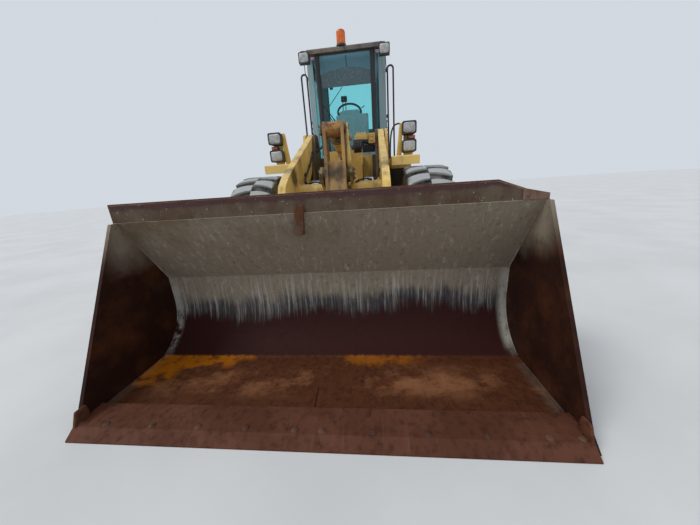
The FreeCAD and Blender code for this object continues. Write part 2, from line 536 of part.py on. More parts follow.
def door_hinges(name, sign):
    parts = []
    axis_x, axis_y = "-door_back - 3", f"{sign}(cab_half + hinge_out)"
    for place_name, low in hinge_lows():
        label = f"{place_name}_{name}"
        knuckle = rod(f"knuckle_{label}", "z", (axis_x, axis_y, low), "door_knuckle", "knuckle_long")
        leaf = box(f"knuckle_leaf_{label}",
                   ("-door_back - 3", "cab_half" if not sign else "-cab_half - hinge_out", low),
                   ("63", "hinge_out", "knuckle_long"))
        bore = rod(f"knuckle_bore_{label}", "z", (axis_x, axis_y, f"{low} - 5"), "door_pin + run_gap",
                   "knuckle_long + 10")
        parts.append(cut(f"knuckle_bored_{label}", joined(f"knuckle_solid_{label}", [knuckle, leaf]), [bore]))
    return parts


def cab():
    floor = outline("cab_pan", "plan", CAB_PLAN, "cab_floor - cab_low", "(cab_floor + cab_low) / 2")
    parts = [floor]
    high = "roof_low - cab_floor"
    for name, side in SIDES:
        sign = "" if side > 0 else "-"
        front = outline(f"front_post_{name}", "plan",
                        [("-corner_back + 34", f"{sign}(cab_half - 30)"), ("-corner_back", f"{sign}cab_half"),
                         ("-corner_back - post_wide", f"{sign}cab_half"),
                         ("-corner_back - post_wide", f"{sign}(cab_half - 50)"),
                         ("-corner_back - 10", f"{sign}(cab_half - 68)")], high, "(roof_low + cab_floor) / 2")
        bar = outline(f"glass_bar_{name}", "plan",
                      [("-cab_front", f"{sign}(glass_half - bar_wide)"), ("-cab_front", f"{sign}glass_half"),
                       ("-cab_front - 26", f"{sign}(glass_half + 24)"),
                       ("-cab_front - 50", f"{sign}(glass_half - 4)"),
                       ("-cab_front - 40", f"{sign}(glass_half - bar_wide)")], high, "(roof_low + cab_floor) / 2")
        rear = outline(f"rear_post_{name}", "plan",
                       [("-door_back - 6", f"{sign}(cab_half - 50)"), ("-door_back - 6", f"{sign}cab_half"),
                        ("-cab_back + 120", f"{sign}cab_half"), ("-cab_back", f"{sign}(cab_half - 120)"),
                        ("-cab_back", f"{sign}(cab_half - rear_post)"),
                        ("-cab_back + 45", f"{sign}(cab_half - rear_post)"),
                        ("-cab_back + 140", f"{sign}(cab_half - 50)")],
                       high, "(roof_low + cab_floor) / 2")
        parts += [front, bar, rear]
        for end, x in (("front", "-frame_end - 70"), ("back", "-cab_back + 190")):
            parts.append(rod(f"cab_mount_{end}_{name}", "z", (x, f"{sign}(rail_space - rail_thick / 2)",
                                                              "cab_low - cab_rubber"), "50", "cab_rubber + 10"))
        parts += cab_hinges(name, sign)
    parts.append(box("rear_wall", ("-cab_back", "-cab_half + rear_post", "cab_floor"),
                     ("45", "2 * cab_half - 2 * rear_post", "700")))
    parts.append(box("front_sill", ("-cab_front - 40", "-glass_half + bar_wide", "cab_floor"),
                     ("40", "2 * glass_half - 2 * bar_wide", "sill_high - cab_floor")))
    parts.append(box("seat_box", ("-seat_x - 200", "-180", "cab_floor"), ("380", "360",
                                                                     "seat_high - cushion_thick - cab_floor")))
    finish("cab_frame", joined("cab_frame", parts))
    slab = outline("roof_slab", "plan", [("-cab_front + roof_lap", "-cab_half + 45"),
                                         ("-cab_front + roof_lap", "cab_half - 45"),
                                         ("-corner_back + 60", "cab_half + roof_side"),
                                         ("-cab_back - 60", "cab_half + roof_side"),
                                         ("-cab_back - 60", "-cab_half - roof_side"),
                                         ("-corner_back + 60", "-cab_half - roof_side")],
                   "roof_high - roof_low", "(roof_high + roof_low) / 2")
    finish("cab_roof", rounded("cab_roof", slab, lambda edge: edge.BoundBox.ZMin > size("roof_high") - 1, "roof_round"))
    middle = "(roof_low + sill_high) / 2"
    tall = "roof_low - sill_high"
    panes = [box("windshield", ("-cab_front - 30", "-glass_half + bar_wide", "sill_high"),
                 ("glass_thick", "2 * glass_half - 2 * bar_wide", tall)),
             box("rear_pane", ("-cab_back + 12", "-cab_half + rear_post", "cab_floor + 700"),
                 ("glass_thick", "2 * cab_half - 2 * rear_post", "roof_low - cab_floor - 700"))]
    for name, side in SIDES:
        sign = "" if side > 0 else "-"
        panes.append(outline(f"corner_pane_{name}", "plan",
                             [("-cab_front - 36", f"{sign}(glass_half + 14)"), ("-corner_back + 22", f"{sign}(cab_half - 42)"),
                              ("-corner_back + 13", f"{sign}(cab_half - 50)"), ("-cab_front - 45", f"{sign}(glass_half + 6)")],
                             "roof_low - cab_floor", "(roof_low + cab_floor) / 2"))
    finish("cab_glass", group("cab_glass", panes))
    for name, side in SIDES:
        y = "cab_half - door_thick" if side > 0 else "-cab_half"
        front = "-corner_back - post_wide - move_gap"
        leaf = box(f"door_leaf_{name}", ("-door_back", y, "door_low"), (f"door_back {front}", "door_thick",
                                                                      "door_high - door_low"))
        hole = box(f"door_hole_{name}", ("-door_back + door_frame", f"{y} - 5", "door_low + door_frame"),
                   (f"door_back {front} - 2 * door_frame", "door_thick + 10", "door_high - door_low - 2 * door_frame"))
        sign = "" if side > 0 else "-"
        finish(f"cab_door_{name}", joined(f"cab_door_{name}", [cut(f"door_frame_{name}", leaf, [hole])]
                                          + door_hinges(name, sign)))
        finish(f"door_glass_{name}", box(f"door_glass_{name}", ("-door_back + door_frame", f"{y} + 16",
                                                              "door_low + door_frame"),
                                         (f"door_back {front} - 2 * door_frame", "glass_thick",
                                          "door_high - door_low - 2 * door_frame")))


def cab_fittings():
    cushion = box("cushion", ("-seat_x - seat_deep / 2", "-seat_half", "seat_high - cushion_thick"),
                  ("seat_deep", "2 * seat_half", "cushion_thick"))
    rest = box("backrest", ("-seat_x - seat_deep / 2 - back_thick", "-seat_half", "seat_high - cushion_thick"),
               ("back_thick", "2 * seat_half", "back_high - seat_high + cushion_thick"))
    finish("seat", joined("seat", [cushion, rest]))
    lean, tilt = math.radians(size("column_lean")), math.radians(size("wheel_tilt"))
    centre = VECTOR(-size("wheel_x"), 0, size("wheel_high"))
    axis = VECTOR(-math.sin(lean), 0, math.cos(lean))
    ring = Part.makeTorus(size("wheel_radius"), size("wheel_rim"), centre, VECTOR(-math.sin(tilt), 0, math.cos(tilt)))
    spoke = Part.makeCylinder(12, 2 * size("wheel_radius"), centre - VECTOR(0, size("wheel_radius"), 0), VECTOR(0, 1, 0))
    long_way = (size("wheel_high") - size("cab_floor")) / math.cos(lean)
    foot = centre - axis * (long_way - 30)
    column = Part.makeCylinder(34, long_way - 30, foot, axis)
    stand = Part.makeBox(120, 120, 60, VECTOR(foot.x - 60, -60, size("cab_floor")))
    finish("steering_column", shaped("steering_column", ring.multiFuse([spoke, column, stand])))
    dash = outline("dash_hood", "side", [("-cab_front - 60", "cab_floor + 110"), ("-cab_front - 60", "dash_high - 60"),
                                            ("-cab_front - 110", "dash_high"), ("-cab_front - 190", "dash_high - 70"),
                                            ("-cab_front - 150", "cab_floor + 110")], "2 * dash_half")
    finish("dash_console", joined("dash_console", [dash, box("dash_foot", ("-cab_front - 150", "-80", "cab_floor"),
                                                             ("80", "160", "120"))]))
    rails = []
    radius = size("rail_radius")
    for side in (1, -1):
        y, wall = side * size("handrail_out"), side * (size("cab_half"))
        x = -size("corner_back") - size("post_wide") / 2
        low, high, bend = size("handrail_low") + 120, size("handrail_high"), 60
        steps = [VECTOR(x, wall, low), VECTOR(x, y - side * bend, low), VECTOR(x, y, low + bend),
                 VECTOR(x, y, high - bend), VECTOR(x, y - side * bend, high), VECTOR(x, wall, high)]
        for start, end in ((0, 1), (2, 3), (4, 5)):
            rails.append(Part.makeCylinder(radius, (steps[end] - steps[start]).Length, steps[start],
                                           steps[end] - steps[start]))
        for corner, way, turn in ((VECTOR(x, y - side * bend, low + bend), -1, 1),
                                  (VECTOR(x, y - side * bend, high - bend), 1, 1)):
            elbow = Part.Face(Part.Wire(Part.makeCircle(radius, corner + VECTOR(0, 0, way * bend), VECTOR(0, 1, 0))))
            rails.append(elbow.revolve(corner, VECTOR(1, 0, 0), -side * way * 90))
    loops = [rails[0].multiFuse(rails[1:5]), rails[5].multiFuse(rails[6:])]
    finish("handrails", shaped("handrails", Part.makeCompound(loops)))
    lamps = []
    for name, side in SIDES:
        y = "roof_lamp_space - roof_lamp_size / 2" if side > 0 else "-roof_lamp_space - roof_lamp_size / 2"
        face = "-cab_front + roof_lap"
        cup = box(f"roof_lamp_cup_{name}", (f"{face} + 25", y, "roof_low - roof_lamp_size + 10"),
                  ("roof_lamp_deep", "roof_lamp_size", "roof_lamp_size - 15"))
        foot = box(f"roof_lamp_foot_{name}", (face, f"{y} + 20", "roof_low - 70"), ("25", "roof_lamp_size - 90", "115"))
        lamps.append(joined(f"roof_lamp_{name}", [cup, foot]))
    finish("roof_lamps", group("roof_lamps", lamps))
    base = rod("beacon_base", "z", ("-beacon_x", "beacon_y", "roof_high"), "beacon_radius + 12", "beacon_foot")
    dome = rod("beacon_dome", "z", ("-beacon_x", "beacon_y", "roof_high + beacon_foot"), "beacon_radius",
               "beacon_high - beacon_foot")
    crown = size("roof_high") + size("beacon_high") - 1
    top = rounded("beacon_top", dome, lambda edge: edge.BoundBox.ZMin > crown, "beacon_dome")
    finish("beacon", joined("beacon", [base, top]))
    arm = box("wiper_arm", ("-cab_front + 2", "-70", "sill_high - 40"), ("12", "16", "430"))
    blade = box("wiper_blade", ("-cab_front - 22 + run_gap", "-330", "sill_high + 330"), ("16", "500", "16"))
    link = box("wiper_link", ("-cab_front - 6", "-70", "sill_high + 330"), ("10", "16", "40"))
    finish("wiper", joined("wiper", [arm, blade, link]))


# Front frame: keel plates round the hitch tongues, the tower ears of the lift arms, the ram
# lugs, the panel under the tilt ram and the saddle on the front axle.

def front_frame():
    keel_corners = [("frame_end", "keel_low"), ("1160", "keel_low"), ("saddle_back", "saddle_high"),
                    ("1830", "saddle_high"), ("keel_front", "saddle_high + 110"),
                    ("keel_front", "keel_high - 150"), ("1500", "keel_high"),
                    ("panel_x + panel_thick", "keel_high"), ("panel_x + panel_thick", "panel_slot"),
                    ("bulkhead_x - bulkhead_thick / 2", "bulkhead_high"), ("frame_end", "keel_high")]
    keel = outline("keel", "side", keel_corners, "keel_thick", "keel_space")
    parts = pair("keel", keel)
    parts.append(box("tongue_plate", ("frame_end", "-keel_space", "keel_low"),
                     ("bulkhead_thick", "2 * keel_space", "keel_high - keel_low")))
    for name, low in (("upper", "upper_hitch_low"), ("lower", "lower_hitch_low")):
        tongue = outline(f"{name}_tongue", "plan", [("frame_end + 10", "-230"), ("-30", "-95"), ("-80", "-45"),
                                                    ("-80", "45"), ("-30", "95"), ("frame_end + 10", "230")],
                         "tongue_thick", f"{low} + tongue_thick / 2")
        bore = rod(f"{name}_tongue_bore", "z", ("0", "0", f"{low} - 5"), "hitch_pin_radius + run_gap / 4",
                   "tongue_thick + 10")
        parts.append(cut(f"{name}_tongue_bored", tongue, [bore]))
    tower = []
    tower.append(box("bulkhead", ("bulkhead_x - bulkhead_thick / 2", "-outer_ear_in - ear_thick", "keel_high + 30"),
                     ("bulkhead_thick", "2 * outer_ear_in + 2 * ear_thick", "bulkhead_high - keel_high - 30")))
    parts.append(box("keel_tie", ("tower_front - 40", "-keel_space", "tower_low"), ("40", "2 * keel_space", "340")))
    tower += pair("tower_sill", box("tower_sill", ("tower_front - 40", "keel_space", "tower_low"),
                                    ("40", "outer_ear_in + ear_thick - keel_space", "340")))
    for name, side in SIDES:
        for which, inner in (("inner", "ear_in"), ("outer", "outer_ear_in")):
            middle = f"{inner} + ear_thick / 2" if side > 0 else f"-{inner} - ear_thick / 2"
            foot = "-10" if which == "inner" else "0"
            low = [("lift_base_x - 90", "tower_low"), ("tower_front", "tower_low")] if which == "inner" else \
                [("tower_back + 200", "tower_low + 120"), ("tower_front", "tower_low + 120")]
            plate = outline(f"{which}_ear_{name}", "side", low + [
                ("tower_front", "keel_high - 60"), ("shoulder_x + 190", "shoulder_z - 30"),
                ("shoulder_x + 110", "shoulder_z + 130"), ("shoulder_x - 110", "shoulder_z + 130"),
                ("tower_back", "shoulder_z - 60"), ("tower_back", "keel_high - 100"),
                ("tower_back" if which == "outer" else "lift_base_x - 90", "keel_high - 260")], "ear_thick", middle)
            tower.append(rounded(f"{which}_ear_curved_{name}", plate, across, "ear_round"))
        start = "ear_in - 12" if side > 0 else "-outer_ear_in - ear_thick - 12"
        tower.append(rod(f"shoulder_pin_{name}", "y", ("shoulder_x", start, "shoulder_z"), "shoulder_pin",
                         "outer_ear_in + ear_thick - ear_in + 24"))
        start = "keel_space" if side > 0 else "-ear_in - ear_thick"
        tower.append(rod(f"lift_pin_{name}", "y", ("lift_base_x", start, "lift_base_z"), "lift_pin",
                         "ear_in + ear_thick - keel_space"))
        start = "tilt_eye_half + run_gap" if side > 0 else "-tilt_eye_half - run_gap - crank_plate"
        tower.append(outline(f"tilt_ear_{name}", "side", [("bulkhead_x", "tilt_base_z - 110"),
                                                          ("tilt_base_x", "tilt_base_z - 90"),
                                                          ("tilt_base_x + 75", "tilt_base_z - 40"),
                                                          ("tilt_base_x + 75", "tilt_base_z + 40"),
                                                          ("tilt_base_x", "tilt_base_z + 90"),
                                                          ("bulkhead_x", "tilt_base_z + 75")], "crank_plate",
                             f"{start} + crank_plate / 2"))
        y = "steer_eye_y" if side > 0 else "-steer_eye_y"
        for level, low in (("low", "steer_z - steer_eye_half - run_gap - lug_thick"),
                           ("high", "steer_z + steer_eye_half + run_gap")):
            parts.append(rod(f"steer_eye_{name}_{level}", "z", ("steer_eye_x", y, low), "steer_pin + 28", "lug_thick"))
            root = "keel_space - keel_thick / 2" if side > 0 else "-steer_eye_y - steer_pin - 28"
            parts.append(box(f"steer_eye_root_{name}_{level}", ("steer_eye_x", root, low),
                             ("170", "steer_eye_y + steer_pin + 28 - keel_space + keel_thick / 2", "lug_thick")))
    tower.append(rod("tilt_base_pin", "y", ("tilt_base_x", "-tilt_eye_half - crank_plate - 15", "tilt_base_z"),
                     "tilt_pin", "2 * tilt_eye_half + 2 * crank_plate + 30"))
    shaft_room = rod("shaft_room", "x", ("frame_end - 10", "0", "tyre_radius"), "shaft_radius + 30",
                     "tower_front - frame_end + 20")
    finish("front_frame", cut("front_frame", joined("front_solid", parts), [shaft_room]))
    keel_room = [outline(f"keel_room_{name}", "side", keel_corners, "keel_thick", f"{sign}keel_space")
                 for name, sign in (("left", ""), ("right", "-"))]
    finish("arm_tower", cut("arm_tower", joined("tower_solid", tower), keel_room + [shaft_room]))
    narrow = "keel_space - keel_thick / 2"
    panel = outline("panel_sheet", "front", [(f"-({narrow})", "keel_low + 500"), (narrow, "keel_low + 500"),
                                             (narrow, "panel_step"), ("panel_half", "panel_step"),
                                             ("panel_half", "panel_high"), ("-panel_half", "panel_high"),
                                             ("-panel_half", "panel_step"), (f"-({narrow})", "panel_step")],
                    "panel_thick", "panel_x + panel_thick / 2")
    slot = box("panel_slot_room", ("panel_x - 5", "-slot_half", "panel_slot"), ("panel_thick + 10", "2 * slot_half", "400"))
    finish("front_panel", cut("front_panel", panel, [slot]))
    axle_parts = axle("front_axle", "axle_reach")
    axle_parts.append(box("front_saddle", ("axle_reach - 130", "-keel_space - keel_thick", "tyre_radius"),
                          ("260", "2 * keel_space + 2 * keel_thick", "saddle_high - tyre_radius")))
    finish("front_axle", joined("front_axle", axle_parts))
    shaft = rod("shaft_tube", "x", ("90", "0", "tyre_radius"), "shaft_radius", "axle_reach - diff_radius - 90")
    yoke = rod("shaft_yoke", "x", ("60", "0", "tyre_radius"), "66", "60")
    finish("drive_shaft", joined("drive_shaft", [shaft, yoke]))


def front_fenders():
    shelf = outline("guard_shelf", "side", [("guard_back", "guard_high - guard_thick"),
                                            ("guard_front - guard_thick", "guard_high - guard_thick"),
                                            ("guard_front - guard_thick", "guard_high - guard_lip"),
                                            ("guard_front", "guard_high - guard_lip"),
                                            ("guard_front", "guard_high - guard_thick"),
                                            ("guard_front - guard_thick", "guard_high"), ("guard_back", "guard_high")],
                    "guard_out - guard_in", "(guard_out + guard_in) / 2")
    flap = box("guard_flap", ("guard_back", "guard_in", "flap_low"), ("guard_thick", "guard_out - guard_in",
                                                                    "guard_high - flap_low"))
    web = outline("guard_web", "side", [("guard_back", "guard_high - 240"), ("tower_front", "guard_high - 330"),
                                        ("guard_front - 120", "guard_high - guard_thick"),
                                        ("guard_back", "guard_high - guard_thick")], "guard_thick",
                  "guard_in + guard_thick / 2")
    strut = box("guard_strut", ("guard_back + 60", "outer_ear_in + ear_thick", "guard_high - 220"),
                ("160", "guard_in - outer_ear_in - ear_thick", "120"))
    foot = box("lamp_bracket", ("lamp_x - bracket_thick", "lamp_y - 60", "guard_high - guard_thick"),
               ("bracket_thick", "120", "lamp_high + 60 - guard_high + guard_thick"))
    side = joined("guard_side", [shelf, flap, web, strut, foot])
    finish("front_fenders", group("front_fenders", pair("guard_side", side)))
    wide, tall, deep = 2 * size("lamp_half"), size("lamp_tall"), size("lamp_deep")
    lamps = []
    for name in ("low", "high"):
        corner = VECTOR(size("lamp_x"), size("lamp_y") - wide / 2, size(f"lamp_{name}") - tall / 2)
        cup = Part.makeBox(deep, wide, tall, corner)
        corners = [edge for edge in cup.Edges if abs(edge.tangentAt(0).x) > 0.9]
        lamps += pair(f"lamp_{name}", shaped(f"lamp_cup_{name}", cup.makeFillet(size("lamp_corner"), corners)))
    middle = "(lamp_low + lamp_high) / 2"
    lamps += pair("lamp_marker", box("lamp_marker", ("lamp_x", "lamp_y - 10", f"{middle} - 22"), ("60", "90", "44")))
    finish("head_lamps", group("head_lamps", lamps))


# Lift arms: two bent plates with a cross tube, whose brackets carry the bell crank.

def lift_arms():
    def arm(name, side):
        centre = "arm_space" if side > 0 else "-arm_space"
        plate = outline(f"arm_plate_{name}", "side",
                        [("shoulder_x - 60", "shoulder_z + 120"), ("shoulder_x - 130", "shoulder_z"),
                         ("shoulder_x - 40", "shoulder_z - 130"), ("1520", "1240"), ("2080", "1010"),
                         ("hinge_x - 420", "hinge_z + 260"), ("hinge_x - 85", "hinge_z - 40"),
                         ("hinge_x", "hinge_z - hinge_boss"), ("hinge_x + 70", "hinge_z - 60"),
                         ("hinge_x + 90", "hinge_z + 30"), ("2500", "1130"), ("2390", "1350"), ("2240", "1450"),
                         ("1950", "1580"), ("shoulder_x + 80", "shoulder_z + 116")], "arm_thick", centre)
        plate = rounded(f"arm_curved_{name}", plate, across, "arm_round")
        start = "arm_space - arm_thick / 2 - 5" if side > 0 else "-arm_space - arm_thick / 2 - 5"
        bosses = [rod(f"arm_boss_{place_name}_{name}", "y", (x, start.replace("- 5", ""), z), r, "arm_thick")
                  for place_name, x, z, r in (("shoulder", "shoulder_x", "shoulder_z", "shoulder_boss"),
                                              ("hinge", "hinge_x", "hinge_z", "hinge_boss"))]
        holes = [rod(f"arm_hole_{place_name}_{name}", "y", (x, start, z), r, "arm_thick + 10")
                 for place_name, x, z, r in (("shoulder", "shoulder_x", "shoulder_z", "shoulder_pin + run_gap"),
                                             ("hinge", "hinge_x", "hinge_z", "hinge_pin + run_gap"))]
        stub = "lift_space + lift_eye_half + run_gap" if side > 0 else "-arm_space + arm_thick / 2"
        eye = rod(f"lift_stub_{name}", "y", ("lift_eye_x", stub, "lift_eye_z"), "lift_pin + 22",
                  "arm_space - arm_thick / 2 - lift_space - lift_eye_half - run_gap")
        return [cut(f"arm_{name}", joined(f"arm_solid_{name}", [plate] + bosses), holes), eye]
    parts = [thing for name, side in SIDES for thing in arm(name, side)]
    parts.append(rod("cross_tube", "y", ("tube_x", "-arm_space + arm_thick / 2", "tube_z"), "tube_radius",
                     "2 * arm_space - arm_thick"))
    for name, side in SIDES:
        middle = "bracket_in + crank_bracket / 2" if side > 0 else "-bracket_in - crank_bracket / 2"
        bracket = outline(f"crank_bracket_{name}", "side",
                          [("tube_x - 90", "tube_z + 30"), ("tube_x + 40", "tube_z - 92"), ("crank_x + 60", "crank_z - 70"),
                           ("crank_x + 90", "crank_z + 20"), ("crank_x + 30", "crank_z + 88"), ("crank_x - 50", "crank_z + 78")],
                          "crank_bracket", middle)
        y = "bracket_in - 5" if side > 0 else "-bracket_in - crank_bracket - 5"
        hole = rod(f"crank_bracket_hole_{name}", "y", ("crank_x", y, "crank_z"), "crank_pin + run_gap",
                   "crank_bracket + 10")
        parts.append(cut(f"crank_bracket_bored_{name}", bracket, [hole]))
    finish("lift_arms", joined("lift_arms", parts))


def bell_crank():
    finish("crank_pin", rod("crank_pin_bar", "y", ("crank_x", "-bracket_in - crank_bracket - 10", "crank_z"),
                            "crank_pin", "2 * bracket_in + 2 * crank_bracket + 20"))
    plates = []
    for name, side in SIDES:
        middle = "crank_plate_in + crank_plate / 2" if side > 0 else "-crank_plate_in - crank_plate / 2"
        plate = outline(f"crank_plate_{name}", "side",
                              [("top_x - 80", "top_z + 30"), ("top_x - 75", "top_z - 70"), ("crank_x - 100", "crank_z + 80"),
                               ("crank_x - 110", "crank_z - 60"), ("foot_x - 95", "foot_z + 40"), ("foot_x - 70", "foot_z - 60"),
                               ("foot_x + 10", "foot_z - 90"), ("foot_x + 80", "foot_z - 20"), ("foot_x + 70", "foot_z + 90"),
                               ("crank_x + 130", "crank_z - 40"), ("crank_x + 105", "crank_z + 90"), ("top_x + 85", "top_z - 20"),
                               ("top_x + 50", "top_z + 75"), ("top_x - 30", "top_z + 85")], "crank_plate", middle)
        plates.append(rounded(f"crank_curved_{name}", plate, across, "crank_round"))
    hub = rod("crank_hub_tube", "y", ("crank_x", "-bracket_in + run_gap", "crank_z"), "crank_hub",
              "2 * bracket_in - 2 * run_gap")
    web = outline("crank_web", "side", [("crank_x - 85", "crank_z + 140"), ("crank_x - 95", "crank_z - 60"),
                                        ("foot_x - 130", "foot_z + 260"), ("foot_x + 20", "foot_z + 300"),
                                        ("crank_x + 115", "crank_z - 40"), ("crank_x + 80", "crank_z + 140")],
                  "2 * crank_plate_in")
    caps = [rod(f"crank_cap_{end}_{name}", "y", (x, "crank_plate_in" if side > 0 else "-crank_plate_in - crank_plate - 22", z),
                "crank_pin", "crank_plate + 22")
            for end, x, z in (("top", "top_x", "top_z"), ("foot", "foot_x", "foot_z")) for name, side in SIDES]
    bore = rod("crank_bore", "y", ("crank_x", "-bracket_in - 5", "crank_z"), "crank_pin + run_gap", "2 * bracket_in + 10")
    finish("bell_crank", cut("bell_crank", joined("crank_solid", plates + [hub, web] + caps), [bore]))
    bar = rod("link_pin_bar", "y", ("link_x", "-link_ear_in - bucket_ear - run_gap - collar_thick", "link_z"), "link_pin",
              "2 * (link_ear_in + bucket_ear + run_gap + collar_thick)")
    collars = [rod(f"link_collar_{name}", "y", ("link_x", start, "link_z"), "pin_collar", "collar_thick")
               for name, start in (("left", "link_ear_in + bucket_ear + run_gap"),
                                   ("right", "-link_ear_in - bucket_ear - run_gap - collar_thick"))]
    finish("link_pin", joined("link_pin", [bar] + collars))
    start = VECTOR(size("foot_x"), 0, size("foot_z"))
    end = VECTOR(size("link_x"), 0, size("link_z"))
    half = size("crank_plate_in") - size("run_gap")
    way = (end - start).normalize()
    bar = Part.makeBox((end - start).Length, 2 * size("link_half"), size("link_deep"),
                       VECTOR(0, -size("link_half"), -size("link_deep") / 2))
    bar.rotate(VECTOR(), VECTOR(0, 1, 0), -math.degrees(math.atan2(way.z, way.x)))
    bar.translate(start)
    eyes = [Part.makeCylinder(size(radius), 2 * half, point - VECTOR(0, half, 0), VECTOR(0, 1, 0))
            for point, radius in ((start, "foot_eye"), (end, "link_eye"))]
    hole = Part.makeCylinder(size("link_pin") + size("run_gap"), 2 * half + 10, end - VECTOR(0, half + 5, 0), VECTOR(0, 1, 0))
    finish("bucket_link", shaped("bucket_link", bar.multiFuse(eyes).cut(hole)))


# A hydraulic ram: a barrel on its base eye, with a bored tube and a gland, and a rod with a
# piston and a far eye. The far eye runs beside or between what it drives.

def ram(base, eye, across, radii, eye_half, pin, piston_at, neck, end):
    barrel_radius, bore, rod_radius = radii
    way = eye - base
    length = way.Length
    way.normalize()
    gap, cap = size("run_gap"), size("gland")
    eye_radius = pin + size("eye_wall")

    def disc(radius, centre, half):
        return Part.makeCylinder(radius, 2 * half, centre - across * half, across)

    tube = Part.makeCylinder(barrel_radius, end - neck, base + way * neck, way)
    stem = Part.makeCylinder(min(eye_half, barrel_radius) - 2, neck, base, way)
    hollow = Part.makeCylinder(bore, end - cap - neck - 20, base + way * (neck + 20), way)
    mouth = Part.makeCylinder(rod_radius + gap, 2 * cap, base + way * (end - cap - 1), way)
    solid = tube.multiFuse([stem, disc(eye_radius, base, eye_half)])
    barrel = solid.cut([hollow, mouth, disc(pin + gap, base, barrel_radius + 60)])
    shaft = Part.makeCylinder(rod_radius, length - piston_at - pin, base + way * piston_at, way)
    piston = Part.makeCylinder(bore - gap, size("piston_long"), base + way * piston_at, way)
    head = disc(eye_radius, eye, eye_half)
    moving = shaft.multiFuse([piston, head])
    return barrel, moving


def rams():
    across = VECTOR(0, 1, 0)
    barrels, rods = [], []
    for side in (1, -1):
        y = side * size("lift_space")
        barrel, moving = ram(VECTOR(size("lift_base_x"), y, size("lift_base_z")),
                             VECTOR(size("lift_eye_x"), y, size("lift_eye_z")), across,
                             (size("lift_barrel"), size("lift_bore"), size("lift_rod")), size("lift_eye_half"),
                             size("lift_pin"), size("lift_piston"), size("lift_neck"), size("lift_barrel_end"))
        barrels.append(barrel)
        rods.append(moving)
    finish("lift_barrels", shaped("lift_barrels", Part.makeCompound(barrels)))
    finish("lift_rods", shaped("lift_rods", Part.makeCompound(rods)))
    barrel, moving = ram(VECTOR(size("tilt_base_x"), 0, size("tilt_base_z")), VECTOR(size("top_x"), 0, size("top_z")),
                         across, (size("tilt_barrel"), size("tilt_bore"), size("tilt_rod")), size("tilt_eye_half"),
                         size("tilt_pin"), size("tilt_piston"), size("tilt_neck"), size("tilt_barrel_end"))
    finish("tilt_barrel", shaped("tilt_barrel", barrel))
    finish("tilt_rod", shaped("tilt_rod", moving))
    for name, side in SIDES:
        barrel, moving = ram(VECTOR(-size("steer_base_x"), side * size("steer_base_y"), size("steer_z")),
                             VECTOR(size("steer_eye_x"), side * size("steer_eye_y"), size("steer_z")), VECTOR(0, 0, 1),
                             (size("steer_barrel"), size("steer_bore"), size("steer_rod")), size("steer_eye_half"),
                             size("steer_pin"), size("steer_piston"), size("steer_neck"), size("steer_barrel_end"))
        finish(f"steer_barrel_{name}", shaped(f"steer_barrel_{name}", barrel))
        finish(f"steer_rod_{name}", shaped(f"steer_rod_{name}", moving))


# Bucket: a bent shell between two side plates, with a bolted cutting edge in front, a guard
# plate above the back and the ears of its hinges and link behind.

def bucket_profile(grow):
    front, low = size("front_reach") - 40, 0.0
    floor_end = VECTOR(size("floor_back"), 0, grow)
    back_low = VECTOR(size("back_x") + grow, 0, size("back_low"))
    back_mid = VECTOR(size("back_x") + grow * 1.05, 0, size("back_mid"))
    lip = VECTOR(size("lip_x") + grow, 0, size("lip_z"))
    turn = math.radians(225)
    middle = VECTOR(size("floor_back") + (size("floor_back") - back_low.x) * math.cos(turn) * 0.94, 0,
                    back_low.z + (back_low.z - grow) * math.sin(turn) * 0.94)
    return [VECTOR(front, 0, grow + low), floor_end, middle, back_low, back_mid, lip]


